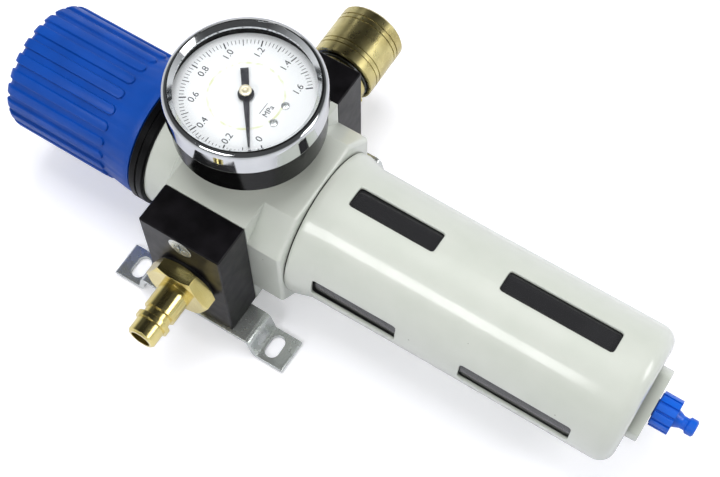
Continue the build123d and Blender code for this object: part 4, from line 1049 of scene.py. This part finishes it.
@dataclass
class Studio:
    """Pale table in the wall plane, soft lamps and the camera at the photograph's angle."""

    camera_place: Point = (-0.1737, -0.4545, -0.1517)
    camera_forward: Point = (0.3744, 0.8965, 0.2371)
    camera_right: Point = (0.5332, 0.0011, -0.8460)
    camera_near: float = 0.01
    focal_px: float = 1368.2
    image_width_px: float = 720.0
    sensor_mm: float = 36.0
    table_side: float = 8.0
    table_gap: float = 0.0005
    table_glow: float = 0.32
    glow_edge: Pair = (0.30, 0.75)    # distances between which the table turns white
    room_light: float = 0.42
    dark_edge: Pair = (-0.42, -0.05)  # what gloss shows of the room darkens towards the front
    dark_front: float = 0.09
    aim: Point = (0.0, -0.04, -0.02)
    card_way: Point = (0.374, -0.897, 0.237)
    card_distance: float = 0.62
    card_side: float = 0.55
    card_glow: float = 0.02
    lamps: tuple[Lamp, ...] = (
        Lamp("key_lamp", (-0.44, -0.52, 0.05), (0.16, 0.30), 1.12),
        Lamp("top_lamp", (0.10, -0.90, 0.05), (0.45, 0.45), 4.2, mirrored=False),
        Lamp("low_lamp", (0.25, -0.45, -0.65), (0.3, 0.3), 1.5),
        Lamp("fill_lamp", (0.60, -0.55, 0.40), (0.4, 0.4), 0.5),
        Lamp("back_lamp", (0.15, 0.7, 0.35), (0.6, 0.6), 1.5),
    )

    def camera(self) -> None:
        """Place the camera as it stood for the photograph."""
        data = bpy.data.cameras.new("camera")
        data.sensor_width = self.sensor_mm
        data.lens = self.focal_px / self.image_width_px * self.sensor_mm
        data.clip_start = self.camera_near
        eye = bpy.data.objects.new("camera", data)
        bpy.context.scene.collection.objects.link(eye)
        back = -Vector(self.camera_forward).normalized()
        right = Vector(self.camera_right)
        right = (right - back * right.dot(back)).normalized()
        up = back.cross(right)
        turn = Matrix((right, up, back)).transposed()
        eye.matrix_world = Matrix.Translation(Vector(self.camera_place)) @ turn.to_4x4()
        bpy.context.scene.camera = eye

    def table(self) -> None:
        """A pale table in the wall plane: opaque from the front, clear to a camera behind it."""
        clear_selection()
        bpy.ops.mesh.primitive_plane_add(size=self.table_side, location=(0.0, self.table_gap, 0.0),
                                         rotation=(math.pi / 2, 0.0, 0.0))
        top = bpy.context.object
        top.name = "table"
        bpy.ops.object.transform_apply(location=True, rotation=True, scale=True)
        made = bpy.data.materials.new("pale_table")
        tree = emptied(made)
        shade = add_node(tree, "ShaderNodeBsdfDiffuse", {"Color": linear("#F0F0F6")})
        spot = add_node(tree, "ShaderNodeTexCoord")
        away = add_node(tree, "ShaderNodeVectorMath", links={0: spot.outputs["Object"]}, operation="LENGTH")
        power = map_range(tree, away.outputs["Value"], self.glow_edge, (self.table_glow, 1.0))
        glow = add_node(tree, "ShaderNodeEmission", {"Color": linear("#FFFFFF")}, {"Strength": power})
        path = add_node(tree, "ShaderNodeLightPath")
        lit = add_node(tree, "ShaderNodeAddShader", links={0: shade.outputs[0], 1: glow.outputs[0]})
        front = add_node(tree, "ShaderNodeMixShader",
                         links={0: path.outputs["Is Camera Ray"], 1: shade.outputs[0], 2: lit.outputs[0]})
        side = add_node(tree, "ShaderNodeNewGeometry")
        clear = add_node(tree, "ShaderNodeBsdfTransparent")
        both = add_node(tree, "ShaderNodeMixShader",
                        links={0: side.outputs["Backfacing"], 1: front.outputs[0], 2: clear.outputs[0]})
        add_node(tree, "ShaderNodeOutputMaterial", links={"Surface": both.outputs[0]})
        top.data.materials.append(made)

    def world(self) -> None:
        """An even pale room that glossy surfaces show darker towards the front."""
        bpy.context.scene.world = bpy.data.worlds.new("room")
        tree = emptied(bpy.context.scene.world)
        even = add_node(tree, "ShaderNodeBackground",
                        {"Color": linear("#FBFCFA"), "Strength": self.room_light})
        white = add_node(tree, "ShaderNodeBackground", {"Color": linear("#FFFFFF"), "Strength": 1.0})
        path = add_node(tree, "ShaderNodeLightPath")
        shown = add_node(tree, "ShaderNodeMath", links={0: path.outputs["Is Camera Ray"],
                                                        1: path.outputs["Is Transmission Ray"]},
                         operation="MAXIMUM")
        mixed = add_node(tree, "ShaderNodeMixShader",
                         links={0: shown.outputs[0], 1: even.outputs[0], 2: white.outputs[0]})
        way = add_node(tree, "ShaderNodeTexCoord")
        split = add_node(tree, "ShaderNodeSeparateXYZ", links={0: way.outputs["Generated"]})
        power = map_range(tree, split.outputs["Y"], self.dark_edge, (self.dark_front, 1.0))
        mirror = add_node(tree, "ShaderNodeBackground", {"Color": linear("#FBFDFF")}, {"Strength": power})
        either = add_node(tree, "ShaderNodeMixShader",
                          links={0: path.outputs["Is Glossy Ray"], 1: mixed.outputs[0], 2: mirror.outputs[0]})
        add_node(tree, "ShaderNodeOutputWorld", links={"Surface": either.outputs[0]})

    def black_card(self) -> None:
        """A black card in front that only reflections see, something dark for metal and gloss to show."""
        clear_selection()
        way = Vector(self.card_way).normalized()
        bpy.ops.mesh.primitive_plane_add(size=self.card_side,
                                         location=Vector(self.aim) + way * self.card_distance)
        card = bpy.context.object
        card.name = "black_card"
        card.rotation_mode = "QUATERNION"
        card.rotation_quaternion = way.to_track_quat("Z", "Y")
        bpy.ops.object.transform_apply(location=True, rotation=True, scale=True)
        card.visible_camera = False
        card.visible_diffuse = False
        card.visible_shadow = False
        card.visible_transmission = False
        made = bpy.data.materials.new("black_card")
        tree = emptied(made)
        dark = add_node(tree, "ShaderNodeEmission",
                        {"Color": linear("#FFFFFF"), "Strength": self.card_glow})
        add_node(tree, "ShaderNodeOutputMaterial", links={"Surface": dark.outputs[0]})
        card.data.materials.append(made)

    def build(self) -> None:
        """Set the studio up."""
        bpy.context.scene.view_settings.view_transform = "Standard"
        self.camera()
        self.table()
        self.world()
        self.black_card()
        for lamp in self.lamps:
            lamp.build(Vector(self.aim))


def main() -> None:
    """Dress the frame, build the pieces and set up the studio."""
    logging.basicConfig(level=logging.INFO, format="%(message)s")
    for name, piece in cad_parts.items():
        paint(piece, NODE_FINISH[name])
    knob = Knob().build()
    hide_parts("knob")
    sleeve = BowlGuard()
    guard = sleeve.build()
    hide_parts("bowl_guard")
    bowl = Bowl()
    cup = bowl.cup()
    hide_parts("bowl")
    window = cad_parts["gauge_window"]
    window.visible_shadow = False
    window.visible_diffuse = False
    made = [knob, guard, sleeve.seam(), cup, bowl.boss(), *GaugePrint().build()]
    for piece in made:
        log.info("piece %s: %d faces", piece.name, len(piece.data.polygons))
    Studio().build()


if __name__ == "__main__":
    main()
